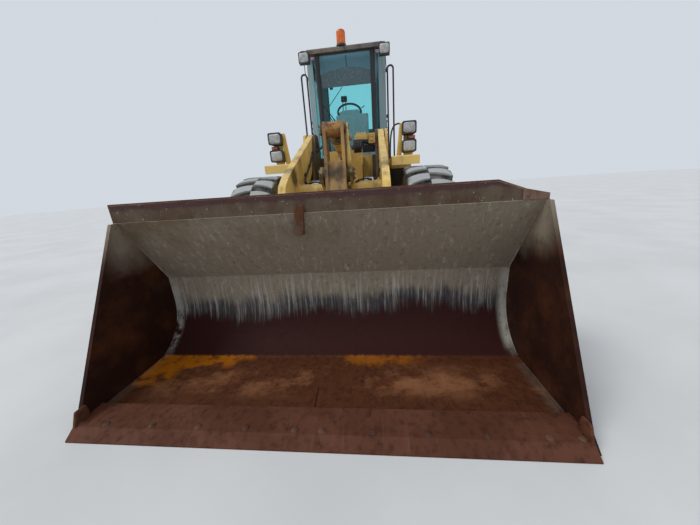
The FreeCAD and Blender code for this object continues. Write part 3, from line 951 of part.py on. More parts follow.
def bucket():
    half, thick, side_thick = size("bucket_half"), size("shell_thick"), size("side_thick")
    front, floor_end, middle, back_low, back_mid, lip = bucket_profile(0)
    front_in, floor_in, middle_in, low_in, mid_in, lip_in = bucket_profile(thick)
    edges = [Part.makeLine(front, floor_end), Part.Arc(floor_end, middle, back_low).toShape(),
             Part.makeLine(back_low, back_mid), Part.makeLine(back_mid, lip), Part.makeLine(lip, lip_in),
             Part.makeLine(lip_in, mid_in), Part.makeLine(mid_in, low_in), Part.Arc(low_in, middle_in, floor_in).toShape(),
             Part.makeLine(floor_in, front_in), Part.makeLine(front_in, front)]
    section = Part.Face(Part.Wire(edges))
    section.translate(VECTOR(0, -half + side_thick, 0))
    shell = section.extrude(VECTOR(0, 2 * (half - side_thick), 0))
    plate_edges = edges[:4] + [Part.makeLine(lip, VECTOR(lip.x + 60, 0, lip.z)),
                               Part.makeLine(VECTOR(lip.x + 60, 0, lip.z), VECTOR(front.x - 60, 0, 60)),
                               Part.makeLine(VECTOR(front.x - 60, 0, 60), front)]
    plate = Part.Face(Part.Wire(plate_edges)).extrude(VECTOR(0, side_thick, 0))
    solids = [shell]
    for y in (-half, half - side_thick):
        copy = plate.copy()
        copy.translate(VECTOR(0, y, 0))
        solids.append(copy)
    ears = []
    gap = size("bucket_ear_gap")
    arm_in, arm_out = size("arm_space") - size("arm_thick") / 2, size("arm_space") + size("arm_thick") / 2
    pin_x, pin_z, back = size("hinge_x"), size("hinge_z"), size("back_x")
    hinge_ear = [VECTOR(pin_x - 60, 0, pin_z - 70), VECTOR(pin_x + 10, 0, pin_z - 100), VECTOR(back + 110, 0, 140),
                 VECTOR(back + 90, 0, pin_z + 280), VECTOR(pin_x + 20, 0, pin_z + 95), VECTOR(pin_x - 75, 0, pin_z + 50)]
    link_x, link_z = size("link_x"), size("link_z")
    link_ear = [VECTOR(link_x - 85, 0, link_z - 80), VECTOR(pin_x + 20, 0, pin_z - 60), VECTOR(back + 70, 0, 200),
                VECTOR(back + 100, 0, link_z + 105), VECTOR(link_x + 20, 0, link_z + 95), VECTOR(link_x - 85, 0, link_z + 60)]
    ear = size("bucket_ear")
    rows = [(side * y + (0 if side > 0 else -ear), hinge_ear)
            for side in (1, -1) for y in (arm_in - gap - ear, arm_out + gap)]
    rows += [(side * size("link_ear_in") + (0 if side > 0 else -ear), link_ear) for side in (1, -1)]
    beyond = 2 * size("front_reach")
    outer = Part.Face(Part.Wire(edges[:5] + [Part.makeLine(lip_in, VECTOR(beyond, 0, lip.z)),
                                             Part.makeLine(VECTOR(beyond, 0, lip.z), VECTOR(beyond, 0, 0)),
                                             Part.makeLine(VECTOR(beyond, 0, 0), front)]))
    room = outer.extrude(VECTOR(0, 2 * half, 0))
    room.translate(VECTOR(0, -half, 0))
    for y, corners in rows:
        piece = Part.Face(Part.makePolygon(corners + [corners[0]])).extrude(VECTOR(0, ear, 0))
        piece.translate(VECTOR(0, y, 0))
        ears.append(piece.cut(room))
    hinge_hole = Part.makeCylinder(size("hinge_pin") + size("run_gap"), 4 * half, VECTOR(pin_x, -2 * half, pin_z), VECTOR(0, 1, 0))
    link_hole = Part.makeCylinder(size("link_pin") + size("run_gap"), 4 * half, VECTOR(link_x, -2 * half, link_z), VECTOR(0, 1, 0))
    whole = shell.multiFuse(solids[1:] + ears).cut([hinge_hole, link_hole])
    finish("bucket_shell", shaped("bucket_shell", whole))
    tip, top = size("front_reach"), size("edge_thick")
    start = front.x
    edge = [VECTOR(tip, 0, 0), VECTOR(tip, 0, 8), VECTOR(tip - size("edge_bevel"), 0, top + thick), VECTOR(tip - size("edge_deep"), 0, top + thick),
            VECTOR(tip - size("edge_deep"), 0, thick), VECTOR(start, 0, thick), VECTOR(start, 0, 0)]
    blade = Part.Face(Part.makePolygon(edge + [edge[0]])).extrude(VECTOR(0, 2 * (half - side_thick), 0))
    blade.translate(VECTOR(0, -half + side_thick, 0))
    finish("cutting_edge", shaped("cutting_edge", blade))
    finish("spill_guard", outline("spill_guard", "front",
                                  [("-bucket_half", "lip_z"), ("bucket_half", "lip_z"), ("bucket_half", "lip_z + guard_end"),
                                   ("bucket_half - guard_cut_y", "guard_top"), ("-bucket_half", "guard_top")],
                                  "guard_plate", "lip_x + 4 + guard_plate / 2"))
    bars = []
    for side in (1, -1):
        centre = side * size("arm_space")
        reach = size("arm_thick") / 2 + gap + ear + 14
        bars.append(Part.makeCylinder(size("hinge_pin"), 2 * reach, VECTOR(pin_x, centre - reach, pin_z), VECTOR(0, 1, 0)))
    finish("bucket_pins", shaped("bucket_pins", Part.makeCompound(bars)))


wheels()
rear_frame()
counterweight()
hood()
flanks()
cab()
cab_fittings()
front_frame()
front_fenders()
lift_arms()
bell_crank()
rams()
bucket()
doc.recompute()

for thing in doc.Objects:
    if "Invalid" in thing.State or "Error" in thing.State:
        raise SystemExit(f"{thing.Name} failed: {thing.State}")

os.makedirs("parts", exist_ok=True)
for thing in finished:
    shape = thing.Shape
    if shape.isNull() or not shape.isValid():
        raise SystemExit(f"{thing.Label} has no valid shape")
    shape.exportStep(f"parts/{thing.Label}.step")
    span = shape.BoundBox
    print(f"{thing.Label}: {len(shape.Solids)} solids, {span.XMin:.0f} {span.XMax:.0f} {span.YMin:.0f} {span.YMax:.0f}"
          f" {span.ZMin:.0f} {span.ZMax:.0f}")
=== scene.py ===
import math
import bpy
import bmesh
from mathutils import Matrix, Vector


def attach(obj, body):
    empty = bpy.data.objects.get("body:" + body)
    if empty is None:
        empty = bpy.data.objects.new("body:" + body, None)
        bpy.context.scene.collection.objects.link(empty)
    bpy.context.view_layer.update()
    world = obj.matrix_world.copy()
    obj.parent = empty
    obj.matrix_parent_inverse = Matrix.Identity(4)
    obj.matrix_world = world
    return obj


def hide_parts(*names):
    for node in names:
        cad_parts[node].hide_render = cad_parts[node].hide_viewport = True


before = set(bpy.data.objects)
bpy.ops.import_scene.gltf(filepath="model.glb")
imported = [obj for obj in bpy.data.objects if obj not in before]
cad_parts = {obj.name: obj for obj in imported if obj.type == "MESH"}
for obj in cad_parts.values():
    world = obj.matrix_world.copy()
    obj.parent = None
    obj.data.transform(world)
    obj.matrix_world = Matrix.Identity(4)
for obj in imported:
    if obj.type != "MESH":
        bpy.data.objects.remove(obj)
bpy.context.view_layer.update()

# The machine faces +X, its left side is +Y and the ground is at Z = 0. Metres throughout.
hitchX = -0.3      # articulation axis, as the solids are shifted


def at(x, y, z):
    return Vector((x / 1000 + hitchX, y / 1000, z / 1000))


# Shader helpers. A wire is a value that runs through a material's nodes; sums of wires are wires.

def newMaterial(name, rough=0.6, metal=0.0):
    material = bpy.data.materials.new(name)
    material.use_nodes = True
    shader = material.node_tree.nodes["Principled BSDF"]
    shader.inputs["Roughness"].default_value = rough
    shader.inputs["Metallic"].default_value = metal
    return material


def addNode(material, kind, **values):
    node = material.node_tree.nodes.new(kind)
    for key, value in values.items():
        setattr(node, key, value)
    return node


def shaderOf(material):
    return material.node_tree.nodes["Principled BSDF"]


def fill(slot, value):
    if isinstance(value, Wire):
        value.material.node_tree.links.new(value.socket, slot)
    else:
        slot.default_value = (*value, 1) if isinstance(value, tuple) else value


class Wire:
    def __init__(self, material, socket):
        self.material, self.socket = material, socket

    def node(self, kind, slots, output=0, **values):
        node = addNode(self.material, kind, **values)
        for slot, value in slots.items():
            fill(node.inputs[slot], value)
        return Wire(self.material, node.outputs[output])

    def sum(self, how, second=0.0):
        return self.node("ShaderNodeMath", {0: self, 1: second}, operation=how)

    def __add__(self, other):
        return self.sum("ADD", other)

    def __sub__(self, other):
        return self.sum("SUBTRACT", other)

    def __rsub__(self, number):
        return self.node("ShaderNodeMath", {0: number, 1: self}, operation="SUBTRACT")

    def __mul__(self, other):
        return self.sum("MULTIPLY", other)

    def __abs__(self):
        return self.sum("ABSOLUTE")

    def larger(self, other):
        return self.sum("MAXIMUM", other)

    def step(self, low, high):
        ends = {"From Min": low, "From Max": high, "Value": self}
        return self.node("ShaderNodeMapRange", ends, "Result", interpolation_type="SMOOTHSTEP")

    def band(self, low, high, soft):
        return self.step(low - soft, low + soft) * self.step(high + soft, high - soft)

    def noise(self, values):
        return self.node("ShaderNodeTexNoise", {**values, "Vector": self}, "Fac")

    def tint(self, first, second):
        return self.node("ShaderNodeMix", {"Factor": self, 6: first, 7: second}, 2, data_type="RGBA")

    def feed(self, name):
        fill(shaderOf(self.material).inputs[name], self)

    def rough(self, low, high):
        self.node("ShaderNodeMapRange", {"To Min": low, "To Max": high, "Value": self}, "Result").feed("Roughness")

    def bump(self, strength, distance):
        self.node("ShaderNodeBump", {"Strength": strength, "Distance": distance, "Height": self},
                  "Normal").feed("Normal")


def distanceOf(first, second):
    return (first * first + second * second).sum("SQRT")


def axesOf(material, output="Object"):
    place = addNode(material, "ShaderNodeTexCoord")
    split = addNode(material, "ShaderNodeSeparateXYZ")
    material.node_tree.links.new(place.outputs[output], split.inputs[0])
    return [Wire(material, socket) for socket in split.outputs]


def colourOf(material):
    return Wire(material, shaderOf(material).inputs["Base Color"].links[0].from_socket)


def noiseOf(material, scale, detail=4, rough=0.55, stretch=(1, 1, 1), turn=(0, 0, 0), distort=0.0):
    place = addNode(material, "ShaderNodeTexCoord")
    mapping = addNode(material, "ShaderNodeMapping")
    mapping.inputs["Scale"].default_value = stretch
    mapping.inputs["Rotation"].default_value = turn
    material.node_tree.links.new(place.outputs["Object"], mapping.inputs["Vector"])
    values = {"Scale": scale, "Detail": detail, "Roughness": rough, "Distortion": distort}
    return Wire(material, mapping.outputs["Vector"]).noise(values)


paintLook = {"fresh": (0.7, 0.46, 0.105), "faded": (0.58, 0.38, 0.105), "grime": (0.13, 0.085, 0.04),
             "rust": (0.085, 0.032, 0.016), "dust": (0.4, 0.34, 0.24), "grease": (0.018, 0.014, 0.011)}


def wornPaint(name, look, grimeAmount=0.5, chips=0.66, greasy=()):
    paint = newMaterial(name, 0.5)
    fade = noiseOf(paint, 1.3, 3).step(0.35, 0.65)
    colour = fade.tint(look["fresh"], look["faded"])
    streaks = noiseOf(paint, 4.0, 5, 0.6, (1.6, 1.6, 0.35))
    grime = streaks.step(0.62 - 0.3 * grimeAmount, 0.82 - 0.2 * grimeAmount)
    x, _, z = axesOf(paint)
    low = z.step(1.5, 0.4)
    grime = (grime * 0.75).larger(low * 0.35)
    colour = grime.tint(colour, look["grime"])
    nz = axesOf(paint, "Normal")[2]
    dusty = nz.step(0.6, 0.95) * noiseOf(paint, 9, 4).step(0.3, 0.7)
    colour = (dusty * 0.55).tint(colour, look["dust"])
    chipped = noiseOf(paint, 17, 6, 0.7, distort=0.4).step(chips, chips + 0.04)
    colour = chipped.tint(colour, look["rust"])
    for spotX, spotZ, reach in greasy:
        dx = x - spotX
        dz = z - spotZ
        away = distanceOf(dx, dz)
        away = away + noiseOf(paint, 14, 3) * 0.12
        colour = (away.step(reach + 0.1, reach) * 0.85).tint(colour, look["grease"])
    colour.feed("Base Color")
    streaks.rough(0.38, 0.8)
    (chipped * -0.6 + noiseOf(paint, 60, 3)).bump(0.25, 0.004)
    return paint


pins = {"shoulder": (0.45, 1.95), "hinge": (2.57, 0.42), "crank": (1.74, 1.44), "top": (1.73, 1.9),
        "foot": (1.995, 0.6)}
yellowPaint = wornPaint("paleYellowPaint", paintLook)
armPaint = wornPaint("armPaint", {**paintLook, "fresh": (0.86, 0.58, 0.15), "faded": (0.74, 0.5, 0.15)}, 0.5, 0.64,
                     [(*pins["shoulder"], 0.1), (*pins["hinge"], 0.12), (*pins["crank"], 0.12)])
crankPaint = wornPaint("crankPaint", {**paintLook, "fresh": (0.5, 0.29, 0.09), "faded": (0.32, 0.17, 0.055)}, 0.8,
                       0.6, [(*pins["crank"], 0.14), (*pins["top"], 0.05), (*pins["foot"], 0.05)])
towerPaint = wornPaint("towerPaint", {**paintLook, "fresh": (0.84, 0.57, 0.15)}, 0.45, 0.66,
                       [(*pins["shoulder"], 0.12)])
fenderPaint = wornPaint("fenderPaint", {**paintLook, "fresh": (0.86, 0.6, 0.17), "faded": (0.76, 0.53, 0.17),
        "dust": (0.6, 0.44, 0.16)}, 0.3, 0.72)
weightPaint = wornPaint("weightPaint", {**paintLook, "fresh": (0.42, 0.29, 0.1)}, 0.6, 0.6)
cabLook = {**paintLook, "fresh": (0.17, 0.26, 0.285), "faded": (0.2, 0.28, 0.29), "grime": (0.09, 0.1, 0.095),
           "dust": (0.22, 0.22, 0.2)}
cabPaint = wornPaint("greyGreenCabPaint", cabLook, 0.3, 0.74)
barMask = {"reach": (0.42, 0.506), "ahead": -0.272, "above": 1.853}


# A second colour where a mask over the piece's own axes says so.
def maskedPaint(paint, mask, colour):
    mask.tint(colourOf(paint), colour).feed("Base Color")


# The posts are grey green; the bars beside the windshield are black.
def cabFramePaint():
    paint = wornPaint("cabFramePaint", cabLook, 0.3, 0.74)
    x, y, z = axesOf(paint)
    reach = abs(y)
    mask = reach.band(*barMask["reach"], 0.002)
    mask = mask * x.step(barMask["ahead"] - 0.002, barMask["ahead"] + 0.002)
    mask = mask * z.step(barMask["above"] - 0.002, barMask["above"] + 0.002)
    maskedPaint(paint, mask, (0.014, 0.015, 0.018))
    return paint


cabFrame = cabFramePaint()


flapShadeTop, gapShadeBand = 1.512, (0.392, 0.487)
# Painted shade: the front fenders are painted near black below the flap's top, where the flap under the shelf lies in
# shadow.
maskedPaint(fenderPaint, axesOf(fenderPaint)[2].step(flapShadeTop + 0.002, flapShadeTop - 0.002), (0.028, 0.022, 0.016))
# Painted shade: the tower's plates in the gap beside the arms are painted dark.
spread = abs(axesOf(towerPaint)[1])
maskedPaint(towerPaint, spread.band(*gapShadeBand, 0.004) * 0.9, (0.03, 0.022, 0.014))
roofPaint = wornPaint("roofPaint", {**paintLook, "fresh": (0.13, 0.12, 0.11), "faded": (0.2, 0.15, 0.1),
                                    "grime": (0.06, 0.04, 0.03), "dust": (0.25, 0.22, 0.18)}, 0.7, 0.6)


def rustySteel(name, dark, light, scratched=0.5, rough=(0.5, 0.9)):
    steel = newMaterial(name, 0.7)
    shaderOf(steel).inputs["Specular IOR Level"].default_value = 0.16
    grain = noiseOf(steel, 22, 8, 0.65)
    patches = noiseOf(steel, 3.1, 5, 0.6).step(0.38, 0.66)
    colour = patches.tint(dark, light)
    colour = grain.step(0.45, 0.75).tint(colour, tuple(c * 0.55 for c in dark))
    scrapes = noiseOf(steel, 5, 6, 0.7, (0.3, 7, 0.3)).step(0.58, 0.75)
    colour = (scrapes * scratched).tint(colour, tuple(min(1, c * 1.8 + 0.02) for c in light))
    colour.feed("Base Color")
    grain.rough(*rough)
    (grain + scrapes * 0.4).bump(0.45, 0.006)
    return steel


# The side plates' colours are rust darkened by painted shade.
bucketLook = {"floor": (0.092, 0.03, 0.012), "floorWorn": (0.24, 0.1, 0.045), "orange": (0.46, 0.14, 0.004),
              "maroon": (0.034, 0.009, 0.007), "blueBlack": (0.06, 0.056, 0.06), "scraped": (0.25, 0.205, 0.15),
              "scrapedPale": (0.44, 0.41, 0.35), "topRust": (0.16, 0.11, 0.068), "side": (0.024, 0.008, 0.005),
              "sideWornShaded": (0.075, 0.024, 0.009), "cornerPale": (0.44, 0.42, 0.36), "outside": (0.36, 0.24, 0.075),
              "outsideRust": (0.1, 0.036, 0.018)}


def bucketSteel():
    steel = newMaterial("scrapedBucketSteel", 0.65)
    shaderOf(steel).inputs["Specular IOR Level"].default_value = 0.12
    x, y, z = axesOf(steel)
    nx, ny, nz = axesOf(steel, "Normal")
    look = bucketLook
    large = noiseOf(steel, 1.7, 4, 0.6)
    fine = noiseOf(steel, 26, 8, 0.68)
    streaks = noiseOf(steel, 3.0, 7, 0.7, (0.5, 9, 0.5))
    hair = noiseOf(steel, 8.0, 8, 0.75, (1.2, 3.2, 1.0), (0.3, 0, 0.1), 0.35)
    height = z + (large - 0.5) * 0.35
    height = height + (streaks - 0.5) * 0.32
    wear = noiseOf(steel, 3.1, 8, 0.7, (1, 0.6, 1)).step(0.46, 0.64)
    wear = wear * x.band(3.18, 3.42, 0.1)
    floorTint = fine.step(0.35, 0.7).tint(look["floor"], tuple(c * 0.6 for c in look["floor"]))
    floorTint = wear.tint(floorTint, look["floorWorn"])
    patch = noiseOf(steel, 4.5, 6, 0.7, (1.2, 0.8, 1), (0, 0, 0.4)).step(0.36, 0.5)
    drift = noiseOf(steel, 2.8, 6, 0.65, turn=(0.7, 0.2, 0)) - 0.5
    spotX = x + drift * 0.42
    spotY = y + drift * -0.9
    rightSpot = spotY.band(0.1, 0.62, 0.14) * 0.5
    crease = spotX.band(2.96, 3.14, 0.04) * spotY.band(-1.65, -0.72, 0.1).larger(rightSpot)
    corner = spotX.band(2.96, 3.32, 0.07) * spotY.band(-1.65, -1.12, 0.09)
    orange = patch * crease.larger(corner)
    colour = orange.tint(floorTint, look["orange"])
    wander = z + (streaks - 0.5) * 0.02
    colour = wander.step(0.022, 0.034).tint(colour, look["maroon"])
    colour = height.step(0.22, 0.36).tint(colour, look["blueBlack"])
    runs = noiseOf(steel, 3.4, 8, 0.78, (0.4, 12, 0.4)).step(0.48, 0.64) * height.band(0.3, 0.58, 0.08)
    scraped = hair.step(0.52, 0.74).tint(look["scraped"], look["scrapedPale"])
    colour = height.step(0.36, 0.5).tint(colour, scraped)
    colour = (runs * 0.85).tint(colour, look["scrapedPale"])
    upper = height.step(0.75, 1.1) * noiseOf(steel, 2.4, 6, 0.65).step(0.38, 0.62)
    upper = upper * y.step(0.9, -0.5)
    colour = (upper * 0.9).tint(colour, look["topRust"])
    flecks = noiseOf(steel, 48, 3, 0.6).step(0.66, 0.7) * height.step(0.2, 0.5)
    colour = (flecks * 0.55).tint(colour, look["cornerPale"])
    reach = abs(y)
    corner = reach.band(1.365, 1.43, 0.03) * z.band(0.06, 0.62, 0.06)
    corner = corner * noiseOf(steel, 5, 6, 0.7, (1, 1, 0.6)).step(0.36, 0.5)
    colour = (corner * 0.9).tint(colour, look["cornerPale"])
    # The side plates' inner faces: partly their own dark rust, partly painted shade.
    sideMask = reach.step(1.422, 1.4245)
    sideRustAndShade = noiseOf(steel, 3.5, 6, 0.65).step(0.4, 0.75).tint(look["side"], look["sideWornShaded"])
    upperSide = height.step(0.75, 1.0) * x.step(3.3, 3.1)
    sideRustAndShade = upperSide.tint(sideRustAndShade, look["scraped"])
    colour = sideMask.tint(colour, sideRustAndShade)
    outward = ny * y.sum("SIGN")
    under = (nz * -1).step(0.5, 0.7) * nx.step(0.1, 0.0)
    outside = (nx * -1).step(0.15, 0.3).larger(under.larger(outward.step(0.5, 0.8) * reach.step(1.44, 1.446)))
    worn = noiseOf(steel, 4.5, 7, 0.7).step(0.42, 0.6)
    worn = worn.larger(z.step(0.35, 0.1))
    colour = outside.tint(colour, worn.tint(look["outside"], look["outsideRust"]))
    colour = (fine.step(0.5, 0.8) * 0.5).tint(colour, look["maroon"])
    colour.feed("Base Color")
    fine.rough(0.42, 0.85)
    heights = fine * 0.5 + (streaks * 0.6 + hair * 0.4)
    heights.bump(0.4, 0.012)
    return steel


scrapedBucketSteel = bucketSteel()
edgeSteel = rustySteel("cuttingEdgeRust", (0.085, 0.029, 0.015), (0.115, 0.042, 0.023), 0.4)


# The guard plate is scraped like the back below it; its top is dark rust.
def guardFinish():
    steel = newMaterial("guardPlateSteel", 0.7)
    shaderOf(steel).inputs["Specular IOR Level"].default_value = 0.12
    z = axesOf(steel)[2]
    fine = noiseOf(steel, 24, 8, 0.68)
    large = noiseOf(steel, 3.2, 6, 0.65, (1, 1.6, 1))
    colour = large.step(0.35, 0.62).tint((0.12, 0.09, 0.062), (0.085, 0.052, 0.034))
    edge = z + (large - 0.5) * 0.08
    colour = edge.step(1.24, 1.262).tint(colour, (0.075, 0.04, 0.036))
    colour = (fine.step(0.5, 0.8) * 0.6).tint(colour, bucketLook["maroon"])
    colour = (noiseOf(steel, 60, 3).step(0.68, 0.72) * 0.6).tint(colour, bucketLook["cornerPale"])
    colour.feed("Base Color")
    fine.bump(0.4, 0.008)
    return steel


guardSteel = guardFinish()
pinSteel = rustySteel("greasyPinSteel", (0.12, 0.08, 0.055), (0.2, 0.15, 0.11), 0.2, (0.3, 0.6))


def chromeRod():
    chrome = newMaterial("ramRodChrome", 0.15, 1.0)
    smear = noiseOf(chrome, 9, 5, 0.6)
    smear.step(0.5, 0.8).tint((0.6, 0.6, 0.6), (0.3, 0.27, 0.22)).feed("Base Color")
    smear.rough(0.1, 0.45)
    return chrome


def tyreRubber():
    rubber = newMaterial("dustyTyreRubber", 0.85)
    dust = noiseOf(rubber, 6, 6, 0.65).step(0.35, 0.62)
    colour = dust.tint((0.03, 0.03, 0.03), (0.15, 0.14, 0.125))
    crumbs = noiseOf(rubber, 45, 4).step(0.55, 0.7)
    colour = (crumbs * 0.5).tint(colour, (0.25, 0.23, 0.2))
    x, _, z = axesOf(rubber)
    x = abs(x - hitchX) - 1.6
    z = z - 0.745
    reach = distanceOf(x, z)
    worn = reach.step(0.722, 0.737) * 0.85     # the tread's top is rubbed pale
    worn.tint(colour, (0.42, 0.43, 0.42)).feed("Base Color")
    noiseOf(rubber, 70, 4, 0.6).bump(0.3, 0.004)
    return rubber


def plainBlack(name, colour, rough, scale=40):
    black = newMaterial(name, rough)
    worn = noiseOf(black, scale, 4, 0.6)
    worn.step(0.5, 0.8).tint(colour, tuple(c * 2.2 + 0.02 for c in colour)).feed("Base Color")
    worn.rough(rough - 0.12, rough + 0.15)
    worn.bump(0.2, 0.002)
    return black


def tintedGlass():
    glass = newMaterial("tintedCabGlass", 0.03)
    shader = shaderOf(glass)
    shader.inputs["Transmission Weight"].default_value = 1.0
    shader.inputs["IOR"].default_value = 1.3
    smudge = noiseOf(glass, 3.5, 5, 0.65)
    smudge.step(0.45, 0.75).tint((0.5, 0.9, 0.92), (0.56, 0.9, 0.91)).feed("Base Color")
    smudge.rough(0.0, 0.09)
    return glass


ramChrome = chromeRod()
dustyRubber = tyreRubber()
blackPaint = plainBlack("blackEnamel", (0.02, 0.02, 0.021), 0.42)
blackPlastic = plainBlack("blackMouldedPlastic", (0.03, 0.03, 0.032), 0.55, 90)
rubberHose = plainBlack("hoseRubber", (0.022, 0.021, 0.02), 0.6, 60)
dashPlastic = plainBlack("dashPlastic", (0.66, 0.48, 0.5), 0.6, 80)
bandFilm = plainBlack("sunBandFilm", (0.42, 0.19, 0.2), 0.8, 50)
liningCloth = plainBlack("headLiningCloth", (0.95, 0.72, 0.9), 0.85, 200)
seatCloth = plainBlack("wovenSeatCloth", (0.035, 0.035, 0.038), 0.85, 300)
engineGrime = rustySteel("engineGrime", (0.05, 0.04, 0.032), (0.11, 0.08, 0.05), 0.1)
sootSteel = rustySteel("sootyPipe", (0.045, 0.03, 0.024), (0.11, 0.055, 0.035), 0.1)
cabGlass = tintedGlass()
amberPlastic = newMaterial("amberLens", 0.18)
shaderOf(amberPlastic).inputs["Transmission Weight"].default_value = 0.35
ambers = noiseOf(amberPlastic, 14, 4).step(0.4, 0.7)
ambers.tint((0.95, 0.2, 0.01), (0.75, 0.14, 0.015)).feed("Base Color")
hubSteel = wornPaint("hubPaint", {**paintLook, "fresh": (0.4, 0.28, 0.1), "faded": (0.3, 0.2, 0.085)}, 0.8, 0.55)
greasyYellow = wornPaint("greasyYellow", {**paintLook, "fresh": (0.34, 0.22, 0.07), "faded": (0.2, 0.13, 0.055)}, 0.9,
                         0.55)
boltRust = rustySteel("ploughBoltRust", (0.075, 0.032, 0.02), (0.13, 0.065, 0.045), 0.2)
lugRust = rustySteel("rustyLug", (0.13, 0.05, 0.025), (0.2, 0.13, 0.1), 0.4)


def lensGlass(name, pale, dark, lines):
    lens = newMaterial(name, 0.12)
    y = axesOf(lens)[1]
    ribs = (y * lines).sum("SINE")
    noiseOf(lens, 18, 4).step(0.35, 0.7).tint(pale, dark).feed("Base Color")
    (ribs + noiseOf(lens, 30, 3) * 0.4).bump(0.35, 0.002)
    shaderOf(lens).inputs["Coat Weight"].default_value = 0.6
    return lens


lampGlass = lensGlass("lampLensGlass", (0.5, 0.5, 0.49), (0.32, 0.32, 0.31), 900)
redLens = lensGlass("markerLens", (0.6, 0.1, 0.03), (0.4, 0.06, 0.02), 1200)
print("finishes ready")


# The tilt ram's chrome ends at its eye, a rusty casting.
def tiltEyePaint():
    rodFinish = chromeRod()
    chrome = colourOf(rodFinish)
    x, _, z = axesOf(rodFinish)
    dx, dz = x - pins["top"][0], z - pins["top"][1]
    away = distanceOf(dx, dz)
    eye = away.step(0.13, 0.125)
    rust = noiseOf(rodFinish, 12, 6, 0.65).step(0.4, 0.62).tint((0.42, 0.2, 0.05), (0.13, 0.045, 0.018))
    eye.tint(chrome, rust).feed("Base Color")
    (1.0 - eye).feed("Metallic")
    eye.rough(0.2, 0.75)
    return rodFinish


sideNames, endNames = ("left", "right"), ("front", "rear")
finishes = (
    (yellowPaint, ["rear_frame", "rear_axle", "engine_hood", "rear_fenders", "front_frame", "front_axle",
                   "front_panel"]
     + [f"{node}_{side}" for node in ("steps", "hood_door", "steer_barrel") for side in sideNames]
     + [f"rim_{end}_{side}" for end in endNames for side in sideNames]),
    (weightPaint, ["counterweight"]), (engineGrime, ["engine_block", "drive_shaft"]), (sootSteel, ["exhaust_stack"]),
    (blackPaint, ["radiator_grille", "air_intake", "handrails", "wiper"]), (cabFrame, ["cab_frame"]),
    (cabPaint, ["cab_door_left", "cab_door_right"]), (roofPaint, ["cab_roof"]), (seatCloth, ["seat"]),
    (cabGlass, ["cab_glass", "door_glass_left", "door_glass_right"]), (dashPlastic, ["dash_console"]),
    (blackPlastic, ["steering_column", "roof_lamps", "head_lamps"]), (amberPlastic, ["beacon"]),
    (towerPaint, ["arm_tower"]), (fenderPaint, ["front_fenders"]), (armPaint,
            ["lift_arms", "lift_barrels", "tilt_barrel"]),
    (crankPaint, ["bell_crank", "bucket_link"]), (pinSteel, ["crank_pin", "link_pin", "bucket_pins"]),
    (ramChrome, ["lift_rods", "steer_rod_left", "steer_rod_right"]), (tiltEyePaint(), ["tilt_rod"]),
    (scrapedBucketSteel, ["bucket_shell"]), (edgeSteel, ["cutting_edge"]), (guardSteel, ["spill_guard"]),
    (dustyRubber, [f"tyre_{end}_{side}" for end in endNames for side in sideNames]),
)
for finish, nodes in finishes:
    for node in nodes:
        slots = bpy.data.objects[node].data.materials
        slots.clear()
        slots.append(finish)
print("solids finished")


# Modelling helpers. Everything is drawn where it belongs, so each finished piece sits at the origin.

def leaveEdit():
    bpy.ops.object.mode_set(mode="OBJECT")


def dropAll():
    if bpy.context.object and bpy.context.object.mode == "EDIT":
        leaveEdit()
    bpy.ops.object.select_all(action="DESELECT")


def only(piece):
    dropAll()
    bpy.context.view_layer.objects.active = piece
    piece.select_set(True)


def newest():
    bpy.ops.object.transform_apply(location=True, rotation=True, scale=True)
    return bpy.context.object


def addBlock(centre, extent):
    dropAll()
    bpy.ops.mesh.primitive_cube_add(size=1, location=centre, scale=extent)
    return newest()


def addDrum(centre, radius, depth, way=(0, 0, 1), sides=32):
    dropAll()
    turn = Vector(way).to_track_quat("Z", "Y").to_euler()
    bpy.ops.mesh.primitive_cylinder_add(vertices=sides, radius=radius, depth=depth, location=centre, rotation=turn)
    return newest()


def choose(piece, kind, wanted):
    only(piece)
    bpy.ops.object.mode_set(mode="EDIT")
    bpy.ops.mesh.select_mode(type=kind)
    bpy.ops.mesh.select_all(action="DESELECT")
    mesh = bmesh.from_edit_mesh(piece.data)
    for part in {"FACE": mesh.faces, "EDGE": mesh.edges, "VERT": mesh.verts}[kind]:
        if wanted(part):
            part.select_set(True)
    mesh.select_flush_mode()
    bmesh.update_edit_mesh(piece.data)


def facing(way, least=0.9):
    return lambda face: face.normal.dot(Vector(way)) > least


def sharp(edge):
    return len(edge.link_faces) == 2 and edge.calc_face_angle(0) > 0.6


def along(way):
    return lambda edge: sharp(edge) and abs((edge.verts[1].co - edge.verts[0].co).normalized().dot(Vector(way))) > 0.95


def bevelEdges(piece, wanted, offset, segments=2):
    choose(piece, "EDGE", wanted)
    bpy.ops.mesh.bevel(offset=offset, segments=segments, affect="EDGES", profile=0.5, clamp_overlap=True)
    leaveEdit()


def soften(piece, offset, segments=2):
    bevelEdges(piece, sharp, offset, segments)


def softBlock(centre, extent, offset, segments):
    block = addBlock(centre, extent)
    soften(block, offset, segments)
    return block


# The chosen corners are moved, then drawn together.
def reshape(piece, wanted, move=None, scale=None, **centre):
    choose(piece, "VERT", wanted)
    if move:
        bpy.ops.transform.translate(value=move)
    if scale:
        bpy.ops.transform.resize(value=scale, **centre)
    leaveEdit()


def insetFaces(piece, wanted, thickness, depth=0.0):
    choose(piece, "FACE", wanted)
    bpy.ops.mesh.inset(thickness=thickness, depth=depth)
    leaveEdit()


def placeOf(centre, way, spin=0.0):
    turn = Vector(way).to_track_quat("Z", "Y").to_matrix().to_4x4()
    return Matrix.Translation(centre) @ turn @ Matrix.Rotation(spin, 4, "Z")


